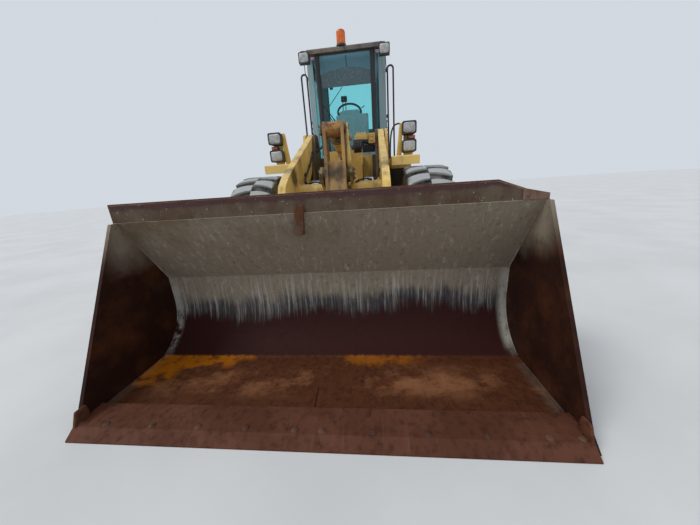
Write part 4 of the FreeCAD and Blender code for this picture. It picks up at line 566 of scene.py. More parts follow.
# A profile of (radius, height) points is drawn vertex by vertex and spun round Z.
def spunPiece(profile, steps=40, place=None):
    dropAll()
    bpy.ops.mesh.primitive_plane_add(size=0.01, location=(0, 0, 0))
    piece = newest()
    bpy.ops.object.mode_set(mode="EDIT")
    bpy.ops.mesh.select_mode(type="VERT")
    bpy.ops.mesh.select_all(action="SELECT")
    bpy.ops.mesh.merge(type="CENTER")
    bpy.ops.transform.translate(value=(profile[0][0], 0, profile[0][1]))
    for before, after in zip(profile, profile[1:]):
        step = (after[0] - before[0], 0, after[1] - before[1])
        bpy.ops.mesh.extrude_region_move(TRANSFORM_OT_translate={"value": step})
    bpy.ops.mesh.select_all(action="SELECT")
    bpy.ops.mesh.spin(steps=steps, angle=2 * math.pi, center=(0, 0, 0), axis=(0, 0, 1))
    bpy.ops.mesh.select_all(action="SELECT")
    bpy.ops.mesh.remove_doubles(threshold=0.0001)
    bpy.ops.mesh.normals_make_consistent(inside=False)
    leaveEdit()
    if place:
        piece.data.transform(place)
    return piece


def copied(piece, move):
    twin = piece.copy()
    twin.data = piece.data.copy()
    bpy.context.collection.objects.link(twin)
    twin.data.transform(move)
    if move.determinant() < 0:
        twin.data.flip_normals()
    return twin


def joined(pieces):
    only(pieces[0])
    for piece in pieces[1:]:
        piece.select_set(True)
    if len(pieces) > 1:
        bpy.ops.object.join()
    return bpy.context.object


# One master is copied to every place and then taken away.
def patterned(master, places):
    copies = [copied(master, place) for place in places]
    bpy.data.objects.remove(master, do_unlink=True)
    return joined(copies)


# Places on a circle round Z.
def circleOf(count, radius, height, start=0.0):
    step = 2 * math.pi / count
    return [(radius * math.cos(step * (k + start)), radius * math.sin(step * (k + start)), height)
            for k in range(count)]


def boltCircle(bolt, count, radius, height, start=0.0):
    return patterned(bolt, [placeOf(spot, (0, 0, 1)) for spot in circleOf(count, radius, height, start)])


# A closed ring of places in a plane across the machine.
def ringAt(x, y, z, radius):
    return [at(x + radius * math.cos(a), y, z + radius * math.sin(a)) for a in (k * math.pi / 24 for k in range(49))]


def route(*spots):
    return [at(*spot) for spot in spots]


acrossFlip = Matrix.Scale(-1, 4, (0, 1, 0))


def bothSides(piece):
    return joined([piece, copied(piece, acrossFlip)])


def tubeAlong(points, radius, order=4, swell=None, sides=3):
    curve = bpy.data.curves.new("tube", "CURVE")
    curve.dimensions = "3D"
    spline = curve.splines.new("NURBS" if order > 1 else "POLY")
    spline.points.add(len(points) - 1)
    for k, (knot, point) in enumerate(zip(spline.points, points)):
        knot.co = (*point, 1)
        knot.radius = swell(k) if swell else 1
    if order > 1:
        spline.order_u = min(order, len(points))
        spline.use_endpoint_u = True
    curve.resolution_u = 7
    curve.bevel_depth = radius
    curve.bevel_resolution = sides
    curve.use_fill_caps = True
    piece = bpy.data.objects.new("tube", curve)
    bpy.context.collection.objects.link(piece)
    only(piece)
    bpy.ops.object.convert(target="MESH")
    return bpy.context.object


def weldAlong(points, radius, pitch=0.011):
    stops = []
    for start, end in zip(points, points[1:]):
        start, end = Vector(start), Vector(end)
        count = max(1, round((end - start).length / pitch))
        stops += [start.lerp(end, k / count) for k in range(count)]
    stops.append(Vector(points[-1]))
    return tubeAlong(stops, radius, 1, lambda k: 1.0 if k % 2 else 0.78, 2)


def complete(name, piece, body, finish, nodes=(), angle=35):
    piece.name = piece.data.name = name
    only(piece)
    bpy.ops.object.shade_smooth_by_angle(angle=math.radians(angle))
    piece.data.materials.clear()
    piece.data.materials.append(finish)
    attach(piece, body)
    if nodes:
        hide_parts(*nodes)
    return piece


def hexBolt(radius, high):
    bolt = addDrum((0, 0, high / 2), radius, high, sides=6)
    bevelEdges(bolt, lambda edge: all(v.co.z > high * 0.9 for v in edge.verts), radius * 0.14, 1)
    washer = addDrum((0, 0, high * 0.08), radius * 1.35, high * 0.16, sides=20)
    return joined([bolt, washer])


sides = (("left", 1), ("right", -1))


# Tyres: a spun carcass with chevron lugs, each lug drawn once and copied round both halves.

tyre = {"outer": 0.745, "carcass": 0.705, "bead": 0.327, "half": 0.252, "lugs": 20, "lugWide": 0.15, "lugLong": 0.225,
        "lugLean": 0.34, "axleReach": 1.6, "track": 1.02}


def tyrePiece():
    t = tyre
    c, h, b = t["carcass"], t["half"], t["bead"]
    right = [(b, -0.205), (b + 0.02, -0.222), (b + 0.045, -0.226), (b + 0.06, -0.216), (b + 0.12, -0.236),
             (b + 0.19, -h), (b + 0.2, -h - 0.004), (b + 0.21, -h), (c - 0.09, -h + 0.006), (c - 0.045, -0.238),
             (c - 0.018, -0.215), (c - 0.005, -0.17), (c, -0.1), (c + 0.003, 0.0)]
    profile = right + [(r, -y) for r, y in reversed(right[:-1])]
    profile += [(b - 0.012, 0.19), (b - 0.012, -0.19), right[0]]
    carcass = spunPiece(profile, 72)
    lug = addBlock((0, 0, 0), (t["lugWide"], t["lugLong"], 0.046))
    choose(lug, "FACE", lambda face: True)
    bpy.ops.mesh.subdivide(number_cuts=3)
    leaveEdit()
    for vertex in lug.data.vertices:
        reach = vertex.co.y / t["lugLong"] + 0.5      # 0 at the middle of the tread, 1 at its shoulder
        top = vertex.co.z > 0
        vertex.co.x *= (0.78 + 0.32 * reach) * (0.84 if top else 1.0)
        vertex.co.x += t["lugLean"] * (reach - 0.2) ** 1.3 * 0.24 if reach > 0.2 else 0
        vertex.co.y = 0.004 + 0.236 * reach
        drop = 0.035 * max(0, reach - 0.62) ** 1.5 / 0.38 ** 1.5
        vertex.co.z = (t["outer"] - drop * 0.55 - (0 if top else 0.05) - (0.012 * reach if not top else 0))
    soften(lug, 0.005, 1)
    shoulder = addBlock((0.05, 0.239, t["outer"] - 0.075), (t["lugWide"] * 0.95, 0.022, 0.1))
    reshape(shoulder, lambda v: v.co.z < t["outer"] - 0.1, scale=(0.7, 0.55, 1),
            center_override=(0.05, 0.234, t["outer"] - 0.1))
    soften(shoulder, 0.004, 1)
    lug = joined([lug, shoulder])
    step = 2 * math.pi / t["lugs"]
    toZ = Matrix.Rotation(math.radians(90), 4, "X")     # the wheel's axle from Z to Y
    places = []
    for k in range(t["lugs"]):
        places.append(Matrix.Rotation(k * step, 4, "Y"))
        places.append(Matrix.Rotation((k + 0.5) * step, 4, "Y") @ acrossFlip)
    lugs = patterned(lug, places)
    carcass.data.transform(toZ)
    return joined([carcass, lugs])


# One master goes to all four wheels.
def fitWheels(name, master, turnOf, finish, replaced=False):
    for end, way in (("front", 1), ("rear", -1)):
        for side, sign in sides:
            place = Matrix.Translation((way * tyre["axleReach"] + hitchX, sign * tyre["track"], tyre["outer"]))
            piece = copied(master, place @ turnOf(way, sign))
            nodes = (f"tyre_{end}_{side}",) if replaced else ()
            complete(f"{name}{end.capitalize()}{side.capitalize()}", piece, f"wheel_{end}_{side}", finish,
                     nodes)
    bpy.data.objects.remove(master, do_unlink=True)


# The front and rear tyres stand turned a little, so that their lugs don't look alike.
fitWheels("tyre", tyrePiece(), lambda way, sign: Matrix.Rotation(math.radians(7 * way), 4, "Y"), dustyRubber,
          True)
print("tyres done")


# Wheels: nuts on the disc, bolts round the hub's cap, its plug and a valve.

wheel = {"nutCircle": 0.206, "nuts": 12, "nutRadius": 0.017, "face": 0.052, "capCircle": 0.088, "capBolts": 8,
         "capFace": 0.15}


def wheelDetail():
    w = wheel
    nut = hexBolt(w["nutRadius"], 0.024)
    stud = addDrum((0, 0, 0.022), w["nutRadius"] * 0.5, 0.034, sides=12)
    nut = joined([nut, stud])
    nuts = boltCircle(nut, w["nuts"], w["nutCircle"], w["face"])
    bolt = hexBolt(0.01, 0.012)
    bolts = boltCircle(bolt, w["capBolts"], w["capCircle"], w["capFace"])
    cap = spunPiece([(0, 0.163), (0.016, 0.163), (0.02, 0.159), (0.02, 0.15), (0.0, 0.15)], 24)
    valve = tubeAlong([(0.245, 0.02, 0.03), (0.26, 0.02, 0.07), (0.29, 0.02, 0.085)], 0.006)
    return joined([nuts, bolts, cap, valve])


fitWheels("wheelDetail", wheelDetail(), lambda way, sign: Matrix.Rotation(-sign * math.radians(90), 4, "X"), hubSteel)
print("wheels done")


# Bucket: plough bolts, weld beads along its seams, corner guards and wear plates, the lug inside its back,
# the rolled bar on top of the guard plate, and ribs and heel pads outside.

bucketDetail = {"boltX": 4018, "boltZ": 54, "boltRadius": 0.02, "guardX": 4002, "guardY": 1411, "barRadius": 0.011,
                "lug": (3360, -100, 1113), "lugSize": (0.05, 0.062, 0.206), "lugLean": (0.042, 0.024), "bead": 0.008,
                "bolts": (-1407, -1230, -931, -645, -360, -76, 74, 354, 642, 935, 1232, 1386)}


def arcPoints(first, second, third, count):
    ax, az = first
    bx, bz = second
    cx, cz = third
    d = 2 * (ax * (bz - cz) + bx * (cz - az) + cx * (az - bz))
    ux = ((ax * ax + az * az) * (bz - cz) + (bx * bx + bz * bz) * (cz - az) + (cx * cx + cz * cz) * (az - bz)) / d
    uz = ((ax * ax + az * az) * (cx - bx) + (bx * bx + bz * bz) * (ax - cx) + (cx * cx + cz * cz) * (bx - ax)) / d
    radius = math.hypot(ax - ux, az - uz)
    start, end = math.atan2(az - uz, ax - ux), math.atan2(cz - uz, cx - ux)
    if end > start:
        end -= 2 * math.pi
    return [(ux + radius * math.cos(start + (end - start) * k / count), uz
             + radius * math.sin(start + (end - start) * k / count)) for k in range(count + 1)]


def bucketPieces():
    b = bucketDetail
    head = spunPiece([(0, 0.008), (0.008, 0.008), (0.014, 0.007), (0.018, 0.004), (b["boltRadius"], 0.0), (0, 0.0)],
                     20)
    socket = softBlock((0, 0, 0.008), (0.012, 0.012, 0.004), 0.001, 1)
    head = joined([head, socket])
    bolts = patterned(head, [placeOf(at(b["boltX"], y, b["boltZ"]), (0, 0, 1), 0.3 * k) for k,
                             y in enumerate(b["bolts"])])
    complete("edgeBolts", bolts, "bucket", boltRust)
    arc = arcPoints((3350, 22), (3350 + 278 * math.cos(math.radians(225)) * 0.94,
                                 420 + 398 * math.sin(math.radians(225)) * 0.94), (3072, 420), 14)
    inner = [(3862, 22)] + arc + [(3073, 640), (3391, 1163)]
    beads = [weldAlong(route((3862, -1423, 25), (3862, 1423, 25)), b["bead"], 0.013), weldAlong(route((3674, -19, 24),
            (3860, -7, 24)), 0.005, 0.02), weldAlong(route((3392, -1448, 1166), (3392, 1448, 1166)), 0.004, 0.02)]
    for side, sign in sides:
        beads.append(weldAlong([at(x, sign * 1422, z + 3) for x, z in inner], b["bead"], 0.012))
    complete("bucketWelds", joined(beads), "bucket", scrapedBucketSteel, angle=60)
    guard = addBlock(at(b["guardX"], b["guardY"], 92), (0.1, 0.02, 0.084))
    reshape(guard, lambda v: v.co.z > 0.12, scale=(0.62, 0.8, 1), center_override=at(b["guardX"] - 40,
            b["guardY"] + 10, 150))
    soften(guard, 0.006, 2)
    plate = addBlock(at(3780, 1457, 190), (0.42, 0.012, 0.3))
    reshape(plate, lambda v: v.co.x > at(3800, 0, 0).x and v.co.z > 0.2, move=(-0.17, 0, 0))
    bevelEdges(plate, along((0, 1, 0)), 0.02, 3)
    complete("cornerGuards", bothSides(joined([guard, plate])), "bucket", edgeSteel)
    lug = addBlock(at(*b["lug"]), b["lugSize"])
    bevelEdges(lug, lambda edge: along((1, 0, 0))(edge) and edge.verts[0].co.z > 1.15, 0.022, 4)
    middle = Vector(at(*b["lug"])).z
    for vertex in lug.data.vertices:
        share = (vertex.co.z - middle) / b["lugSize"][2] * 2
        vertex.co.x += b["lugLean"][0] * share
        vertex.co.y += b["lugLean"][1] * share
    soften(lug, 0.003, 2)
    bar = tubeAlong([at(3380, y, z) for y, z in ((-1446, 1288), (1148, 1288), (1446, 1176))], b["barRadius"], 1)
    patch = addBlock(at(3398, 1366, 1205), (0.008, 0.15, 0.07))
    reshape(patch, lambda v: v.co.z > 1.22 and v.co.y > 1.4, move=(0, 0, -0.035))
    soften(patch, 0.002, 1)
    complete("backLugAndBar", joined([lug, bar, patch]), "bucket", lugRust)
    rib = addBlock(at(3046, 0, 250), (0.022, 0.12, 0.3))
    bevelEdges(rib, along((1, 0, 0)), 0.025, 3)
    ribs = patterned(rib, [Matrix.Translation((0, y, 0)) for y in (-1.2, -0.32, 0.32, 1.2)])
    pad = addBlock(at(3150, 0, 95), (0.16, 0.1, 0.02))
    pad.data.transform(Matrix.Translation(at(3150, 0, 95)) @ Matrix.Rotation(math.radians(42), 4, "Y")
                       @ Matrix.Translation(-at(3150, 0, 95)))
    soften(pad, 0.004, 2)
    pads = patterned(pad, [Matrix.Translation((0, y, 0)) for y in (-1.1, -0.55, 0, 0.55, 1.1)])
    complete("bucketBackPlates", joined([ribs, pads]), "bucket", scrapedBucketSteel)


bucketPieces()
print("bucket done")


# Pins: a flanged cap with its bolts and a grease nipple at each end of every pin that shows.

pinLook = {"capHigh": 0.014, "boltRadius": 0.011}


def pinEnd(centre, way, radius, bolts=4):
    p = pinLook
    high = p["capHigh"]
    cap = spunPiece([(0, high), (radius * 0.55, high), (radius * 0.6, high * 0.7), (radius * 0.92, high * 0.7),
                     (radius, high * 0.3), (radius, 0), (0, 0)], 32)
    bolt = hexBolt(p["boltRadius"], 0.014)
    heads = boltCircle(bolt, bolts, radius * 0.75, high * 0.7, 0.5)
    nipple = spunPiece([(0, high + 0.018), (0.004, high + 0.016), (0.003, high + 0.012), (0.006, high + 0.008),
                        (0.006, high), (0, high)], 12)
    piece = joined([cap, heads, nipple])
    piece.data.transform(placeOf(centre, way))
    return piece


def pinPair(name, x, z, y, radius, body, finish, bolts=4):
    ends = [pinEnd(at(x, sign * y, z), (0, sign, 0), radius, bolts) for side, sign in sides]
    complete(name, joined(ends), body, finish)


pinPair("shoulderPinCaps", 750, 1950, 625.4, 0.085, "front", greasyYellow)
pinPair("hingePinCaps", 2870, 420, 617, 0.058, "bucket_pins", pinSteel, 3)
pinPair("crankPinCaps", 2040, 1440, 181, 0.07, "crank_pin", pinSteel, 3)
pinPair("crankTopCaps", 2030, 1900, 136, 0.058, "bell_crank", crankPaint, 3)
pinPair("crankFootCaps", 2295, 600, 136, 0.058, "bell_crank", crankPaint, 3)
pinPair("linkPinCaps", 2930, 675, 144.5, 0.085, "link_pin", pinSteel, 3)
print("pins done")


# Rams: a bolted gland and its face, two ports, and a steel pipe along the barrel under two clamps.

ramLook = {"glandBolts": 6, "pipe": 0.009}
ramsSeen = {"liftRam": {"body": "lift_barrels", "base": (420, 790), "eye": (1600, 1330), "y": 345, "barrel": 74,
                        "end": 1195, "rod": 40}, "tiltRam": {"body": "tilt_barrel", "base": (690, 1680),
                                "eye": (2030, 1900), "y": 0, "barrel": 80, "end": 1150, "rod": 42},}


def ramFittings(r):
    base, eye = at(r["base"][0], r["y"], r["base"][1]), at(r["eye"][0], r["y"], r["eye"][1])
    way = (eye - base).normalized()
    up = Vector((0, 1, 0)).cross(way) * -1
    if up.z < 0:
        up = -up
    end, radius, rodRadius = r["end"] / 1000, r["barrel"] / 1000, r["rod"] / 1000
    place = placeOf(base + way * end, way)
    ring = spunPiece([(radius - 0.012, 0.0), (radius + 0.006, 0.0), (radius + 0.008, -0.004), (radius + 0.008,
            -0.034), (radius + 0.004, -0.04), (radius - 0.012, -0.04), (radius - 0.012, 0.0)], 40, place)
    face = spunPiece([(rodRadius + 0.004, 0.0), (rodRadius + 0.006, 0.012), (rodRadius + 0.014, 0.014), (rodRadius
            + 0.02, 0.006), (radius - 0.006, 0.005), (radius - 0.004, 0.0), (rodRadius + 0.004, 0.0)], 40, place)
    bolt = hexBolt(0.007, 0.01)
    circle = (rodRadius + 0.02 + radius - 0.004) / 2
    bolts = patterned(bolt, [place @ Matrix.Translation(spot) for spot in circleOf(ramLook["glandBolts"], circle,
            0.004)])
    lean = (up * 0.98 + Vector((0, 0.16, 0))).normalized()
    near, far = base + way * 0.17, base + way * (end - 0.1)
    parts = [ring, face, bolts]
    for k, stop in enumerate((near, far)):
        parts.append(spunPiece([(0, 0.045), (0.012, 0.045), (0.013, 0.034), (0.02, 0.033), (0.02, 0.02), (0.017,
                0.018), (0.02, 0.0), (0.03, -0.008), (0, -0.008)], 20, placeOf(stop + lean * radius, lean)))
    high = radius + 0.034
    parts.append(tubeAlong([far + lean * (high - 0.01), far + lean * (high + 0.012),
                            far - way * 0.03 + lean * (high + 0.012), near + way * 0.16 + lean * (high + 0.012), near
                            + way * 0.08 + lean * (high - 0.005), near + way * 0.03 + lean * high], ramLook["pipe"]))
    for share in (0.35, 0.72):
        spot = near.lerp(far, share)
        band = spunPiece([(radius - 0.002, 0.011), (radius + 0.004, 0.011), (radius + 0.004, -0.011),
                          (radius - 0.002, -0.011), (radius - 0.002, 0.011)], 40, placeOf(spot, way))
        shoe = softBlock((0, 0, 0), (0.03, 0.034, 0.022), 0.003, 2)
        shoe.data.transform(placeOf(spot + lean * (high + 0.006), way))
        parts += [band, shoe]
    return joined(parts)


complete("liftRamFittings", bothSides(ramFittings(ramsSeen["liftRam"])), "lift_barrels", greasyYellow)
complete("tiltRam", ramFittings(ramsSeen["tiltRam"]), "tilt_barrel", greasyYellow)
print("ram fittings done")


# Hoses of one body: under the valve bank, round the tower's ears and along the arms.

hoseRadius = 0.0125


def fittedHose(points, radius=hoseRadius):
    parts = [tubeAlong(points, radius)]
    for k, (tip, inner) in enumerate(((points[0], points[1]), (points[-1], points[-2]))):
        way = (Vector(inner) - Vector(tip)).normalized()
        grow = radius / hoseRadius
        parts.append(spunPiece([(0, -0.004), (0.019 * grow, -0.004), (0.019 * grow, 0.012), (0.0145 * grow, 0.014),
                                (0.0155 * grow, 0.018), (0.0155 * grow, 0.05), (0.0128 * grow, 0.054), (0, 0.054)],
                                12, placeOf(tip, way)))
    return joined(parts)


def towerHoses():
    loops = []
    for k in range(5):                                         # the lift rams sweep past beyond y 262
        y = 148 + 24 * k
        loops.append(fittedHose(route((1100, y, 1908), (1130 + 6 * k, y + 3, 1850), (1142, y + 8 - 4 * k, 1800),
                                      (1108, y + 6 - 3 * k, 1762), (1072, y, 1730)), 0.012))
    for side, sign in sides:
        loops.append(fittedHose(route((900, sign * 438, 1830), (890, sign * 395, 1850), (900, sign * 330, 1915),
                                      (960, sign * 258, 1900), (1060, sign * 236, 1810), (1085, sign * 230, 1710))))
    posts = [softBlock(at(1096, y, 1832), (0.012, 0.05, 0.17), 0.003, 1) for y in (170, 235)]
    shelf = softBlock(at(1060, 208, 1900), (0.1, 0.1, 0.012), 0.003, 1)
    block = softBlock(at(1080, 188, 1806), (0.03, 0.14, 0.1), 0.012, 3)
    rear = softBlock(at(890, 348, 1826), (0.03, 0.17, 0.1), 0.012, 3)
    return joined(loops + posts + [shelf, block, rear])


complete("towerHoses", towerHoses(), "front", rubberHose)

# The valve bank behind the lift rams, and the front panel's cover, strip and bolts.

valves = {"bank": (975, 249, 1965), "bankSize": (0.07, 0.182, 0.074), "end": (955, 398, 1945),
          "endSize": (0.07, 0.093, 0.134), "spools": 5}


def valveBank():
    v = valves
    bank = softBlock(at(*v["bank"]), v["bankSize"], 0.004, 2)
    grooves = patterned(addBlock((0, 0, 0), (0.074, 0.004, 0.076)), [Matrix.Translation(at(975, 177 + 36 * k, 1965))
            for k in range(v["spools"])])
    end = softBlock(at(*v["end"]), v["endSize"], 0.006, 3)
    insetFaces(end, facing((1, 0, 0)), 0.014, -0.004)
    cap = spunPiece([(0, 0.03), (0.01, 0.03), (0.013, 0.025), (0.013, 0.004), (0.016, 0.0), (0, 0.0)], 16)
    caps = patterned(cap, [placeOf(at(975, 195 + 36 * k, 2000), (0, 0, 1)) for k in range(4)]
                     + [placeOf(at(988, 398, z), (1, 0, 0)) for z in (1918, 1972)])
    complete("valveBank", joined([bank, grooves, end, caps]), "front", yellowPaint)
    plate = addBlock(at(1117, -60, 1440), (0.008, 0.2, 0.22))
    bevelEdges(plate, along((1, 0, 0)), 0.018, 3)
    soften(plate, 0.002, 1)
    bolt = hexBolt(0.008, 0.009)
    bolts = patterned(bolt, [placeOf(at(1121, -60 + a * 84, 1440 + b * 94), (1, 0, 0)) for a in (-1, 1)
                             for b in (-1, 1)])
    seam = softBlock(at(1114, 236, 1540), (0.006, 0.02, 0.42), 0.002, 1)
    edge = hexBolt(0.009, 0.01)
    rim = patterned(edge, [placeOf(at(1112, y, z), (1, 0, 0)) for y in (-235, 200) for z in (1640, 1740)])
    complete("panelFittings", joined([plate, bolts, seam, rim]), "front", yellowPaint)


valveBank()


# A grab bar curves from the right shelf over to the lamps.

def grabBar():
    bar = tubeAlong(route((1010, 655, 1612), (1020, 655, 1800), (1040, 660, 1960), (1090, 700, 2066),
                          (1130, 770, 2080), (1180, 838, 2030), (1290, 852, 1985), (1330, 852, 1975)), 0.011)
    foot = spunPiece([(0, 0.008), (0.028, 0.008), (0.03, 0.004), (0.03, 0), (0, 0)], 24,
                     placeOf(at(1010, 655, 1619), (0, 0, 1)))
    complete("grabBar", joined([bar, foot]), "front", blackPaint)


grabBar()


def armHoses():
    hoses = []
    for side, sign in sides:
        hoses.append(fittedHose(route((860, sign * 482, 1900), (1010, sign * 470, 1800), (1300, sign * 470, 1600),
                                      (1560, sign * 468, 1480), (1740, sign * 455, 1400), (1800, sign * 420, 1372))))
        hoses.append(fittedHose(route((1830, sign * 380, 1366), (1835, sign * 330, 1380), (1850, sign * 270, 1385),
                                      (1865, sign * 220, 1362), (1880, sign * 196, 1345)), 0.0105))
    return joined(hoses)


complete("armHoses", armHoses(), "arms", rubberHose)

clampSpots = ((1010, 1800), (1300, 1600), (1560, 1480))


def armClamps():
    clamp = addBlock((0, 0, 0), (0.034, 0.026, 0.04))
    bevelEdges(clamp, along((1, 0, 0)), 0.009, 3)
    bolt = hexBolt(0.006, 0.008)
    bolt.data.transform(placeOf((0, 0, 0.02), (0, 0, 1)))
    clamp = joined([clamp, bolt])
    slope = Matrix.Rotation(math.radians(33), 4, "Y")
    return patterned(clamp, [Matrix.Translation(at(x, sign * 478, z)) @ slope for x, z in clampSpots for _,
                             sign in sides])


complete("hoseClamps", armClamps(), "arms", blackPaint)


# Crank: weld beads round its hub, the side lever with its eye and a chain strip.

def crankPieces():
    ring = []
    for side, sign in sides:
        ring.append(weldAlong(ringAt(2040, sign * 114.5, 1440, 93), 0.0055, 0.014))
    lever = addBlock(at(2052, 151, 1700), (0.08, 0.046, 0.5))
    bevelEdges(lever, along((0, 1, 0)), 0.03, 4)
    reshape(lever, lambda v: v.co.z > 1.9, scale=(0.8, 0.3, 1), center_override=at(2052, 146, 1950))
    soften(lever, 0.003, 2)
    complete("sideLever", lever, "bell_crank", armPaint)
    eye = spunPiece([(0, 0.016), (0.018, 0.016), (0.026, 0.01), (0.026, -0.01), (0.018, -0.016), (0, -0.016)], 24,
                    placeOf(at(2062, 176, 1800), (0, 1, 0)))
    link = softBlock((0, 0, 0), (0.012, 0.007, 0.026), 0.003, 2)
    links = patterned(link, [Matrix.Translation(at(2082, 128, 1850 - 22 * k))
                             @ Matrix.Rotation(math.radians(90 * (k % 2)), 4, "Z") for k in range(11)])
    return joined(ring + [eye, links])


complete("crankDetail", crankPieces(), "bell_crank", crankPaint)


# Arms: weld beads round the cross tube and the ram pins, and a pad at each hinge eye.

def armPieces():
    rings = []
    for side, sign in sides:
        for radius, x, z in ((103, 1830, 1260), (65, 1600, 1330)):
            rings.append(weldAlong(ringAt(x, sign * 488, z, radius), 0.006, 0.016))
        rings.append(spunPiece([(0.046, 0.0), (0.046, 0.012), (0.09, 0.012), (0.096, 0.007), (0.096, 0.0),
                                (0.046, 0.0)], 40, placeOf(at(2870, sign * 568, 420), (0, sign, 0))))
    return joined(rings)


complete("armWelds", armPieces(), "arms", armPaint)
print("hoses and welds done")


# Head lamps on the front fenders: a black rim, a domed ribbed lens and a marker between them.

lamp = {"face": 1440, "y": 868, "rows": (1748, 1960), "wide": 0.172, "tall": 0.142, "lensWide": 0.146,
        "lensTall": 0.116, "marker": 1854}


def lampRim(centre, wide, tall, deep=0.022, lip=0.014):
    rim = addBlock(centre, (deep, wide, tall))
    bevelEdges(rim, along((1, 0, 0)), 0.024, 4)
    insetFaces(rim, facing((1, 0, 0)), lip, 0.0)
    insetFaces(rim, lambda f: f.normal.x > 0.9 and f.calc_area() > wide * tall * 0.4, 0.004, -0.012)
    soften(rim, 0.002, 1)
    return rim


def lampLens(centre, wide, tall, swell=0.012):
    lens = addBlock(centre, (0.012, wide, tall))
    bevelEdges(lens, along((1, 0, 0)), 0.026, 5)
    insetFaces(lens, facing((1, 0, 0)), 0.008, swell * 0.5)
    largest = max(face.area for face in lens.data.polygons if face.normal.x > 0.9)
    insetFaces(lens, lambda face: face.normal.x > 0.9 and face.calc_area() > largest * 0.95, 0.01, swell * 0.3)
    return lens


def frontLamps():
    rims, lenses = [], []
    for z in lamp["rows"]:
        rims.append(lampRim(at(lamp["face"] + 8, lamp["y"], z), lamp["wide"] + 0.006, lamp["tall"] + 0.006))
        lenses.append(lampLens(at(lamp["face"] + 10, lamp["y"], z), lamp["lensWide"], lamp["lensTall"]))
        rims.append(tubeAlong(route((1335, lamp["y"] + 30, z - 50), (1318, lamp["y"] + 34, z - 70),
                                    (1316, lamp["y"] + 34, z - 140), (1312, lamp["y"] + 20, 1640)), 0.005))
    post = addBlock(at(1352, lamp["y"] - 124, 1820), (0.05, 0.064, 0.42))
    reshape(post, lambda v: v.co.z > 2.0, move=(0, 0.034, 0), scale=(1, 0.6, 1))
    soften(post, 0.004, 2)
    arms = [softBlock(at(1346, lamp["y"] - 60, z), (0.022, 0.12, 0.04), 0.004, 2) for z in lamp["rows"]]
    complete("headLampBrackets", bothSides(joined([post] + arms)), "front", yellowPaint)
    marker = softBlock(at(1398, lamp["y"] + 35, lamp["marker"]), (0.02, 0.08, 0.036), 0.006, 3)
    complete("headLampRims", bothSides(joined(rims)), "front", blackPlastic)
    complete("headLampLenses", bothSides(joined(lenses)), "front", lampGlass)
    complete("markerLenses", bothSides(marker), "front", redLens)


frontLamps()


# Roof lamps, each hung beside the cab's front corner on its bolt.

roofLamp = {"face": 236, "y": 640, "z": 3310, "wide": 0.168, "tall": 0.153}


def roofLampPieces():
    r = roofLamp
    rims, lenses = [], []
    for side, sign in sides:
        rims.append(lampRim(at(r["face"] - 4, sign * r["y"], r["z"]), r["wide"], r["tall"], 0.024, 0.012))
        lenses.append(lampLens(at(r["face"] + 1, sign * r["y"], r["z"]), r["wide"] - 0.026, r["tall"] - 0.026))
        top = hexBolt(0.016, 0.03)
        top.data.transform(placeOf(at(r["face"] - 45, sign * r["y"], r["z"] + 500 * r["tall"] - 3), (0, 0, 1)))
        lead = tubeAlong(route((r["face"] - 78, sign * 655, 3280), (150, sign * 660, 3200), (100, sign * 668, 3140),
                               (-20, sign * 676, 3120)), 0.006)
        rims += [top, lead]
    complete("roofLampRims", joined(rims), "chassis", blackPlastic)
    complete("roofLampLenses", joined(lenses), "chassis", lampGlass)


roofLampPieces()

# Beacon: a black foot and an amber dome with fine ribs.

beacon = {"x": 60, "y": -40, "foot": 3462, "radius": 0.074, "high": 0.231}


def beaconPieces():
    b = beacon
    r, h = b["radius"], b["high"]
    place = placeOf(at(b["x"], b["y"], b["foot"]), (0, 0, 1))
    base = spunPiece([(0, 0), (r + 0.012, 0), (r + 0.013, 0.01), (r + 0.006, 0.016), (r + 0.006, 0.026),
                      (r + 0.001, 0.034), (0, 0.034)], 48, place)
    complete("beaconBase", base, "chassis", blackPlastic)
    dome = spunPiece([(0, 0.034), (r, 0.034), (r, 0.05), (r - 0.004, 0.054), (r - 0.004, h - 0.036),
                      (r - 0.008, h - 0.018), (r - 0.02, h - 0.005), (r - 0.034, h - 0.001), (0, h)], 64, place)
    choose(dome, "FACE", lambda f: abs(f.normal.z) < 0.3 and f.calc_center_median().z > 3.52 and f.index % 3 == 0)
    bpy.ops.mesh.inset(thickness=0.0008, depth=0.0016)
    leaveEdit()
    complete("beaconDome", dome, "chassis", amberPlastic, ("beacon",))


beaconPieces()
print("lamps done")


# Cab: rubber round the panes and the door handles.

cab = {"front": 100, "half": 670, "glassHalf": 430, "sill": 1850, "head": 3390, "doorFront": -210, "doorBack": -1000,
       "doorLow": 1790, "doorHigh": 3360, "doorFrame": 62}


def sealLoop(corners, radius, curve=0.035):
    ring = []
    count = len(corners)
    for k, corner in enumerate(corners):
        before, after = Vector(corners[k - 1]), Vector(corners[(k + 1) % count])
        corner = Vector(corner)
        start, end = corner + (before - corner).normalized() * curve, corner + (after - corner).normalized() * curve
        for step in range(5):
            t = step / 4
            ring.append(start * (1 - t) ** 2 + corner * 2 * t * (1 - t) + end * t ** 2)
    return tubeAlong(ring + [ring[0]], radius, 1)


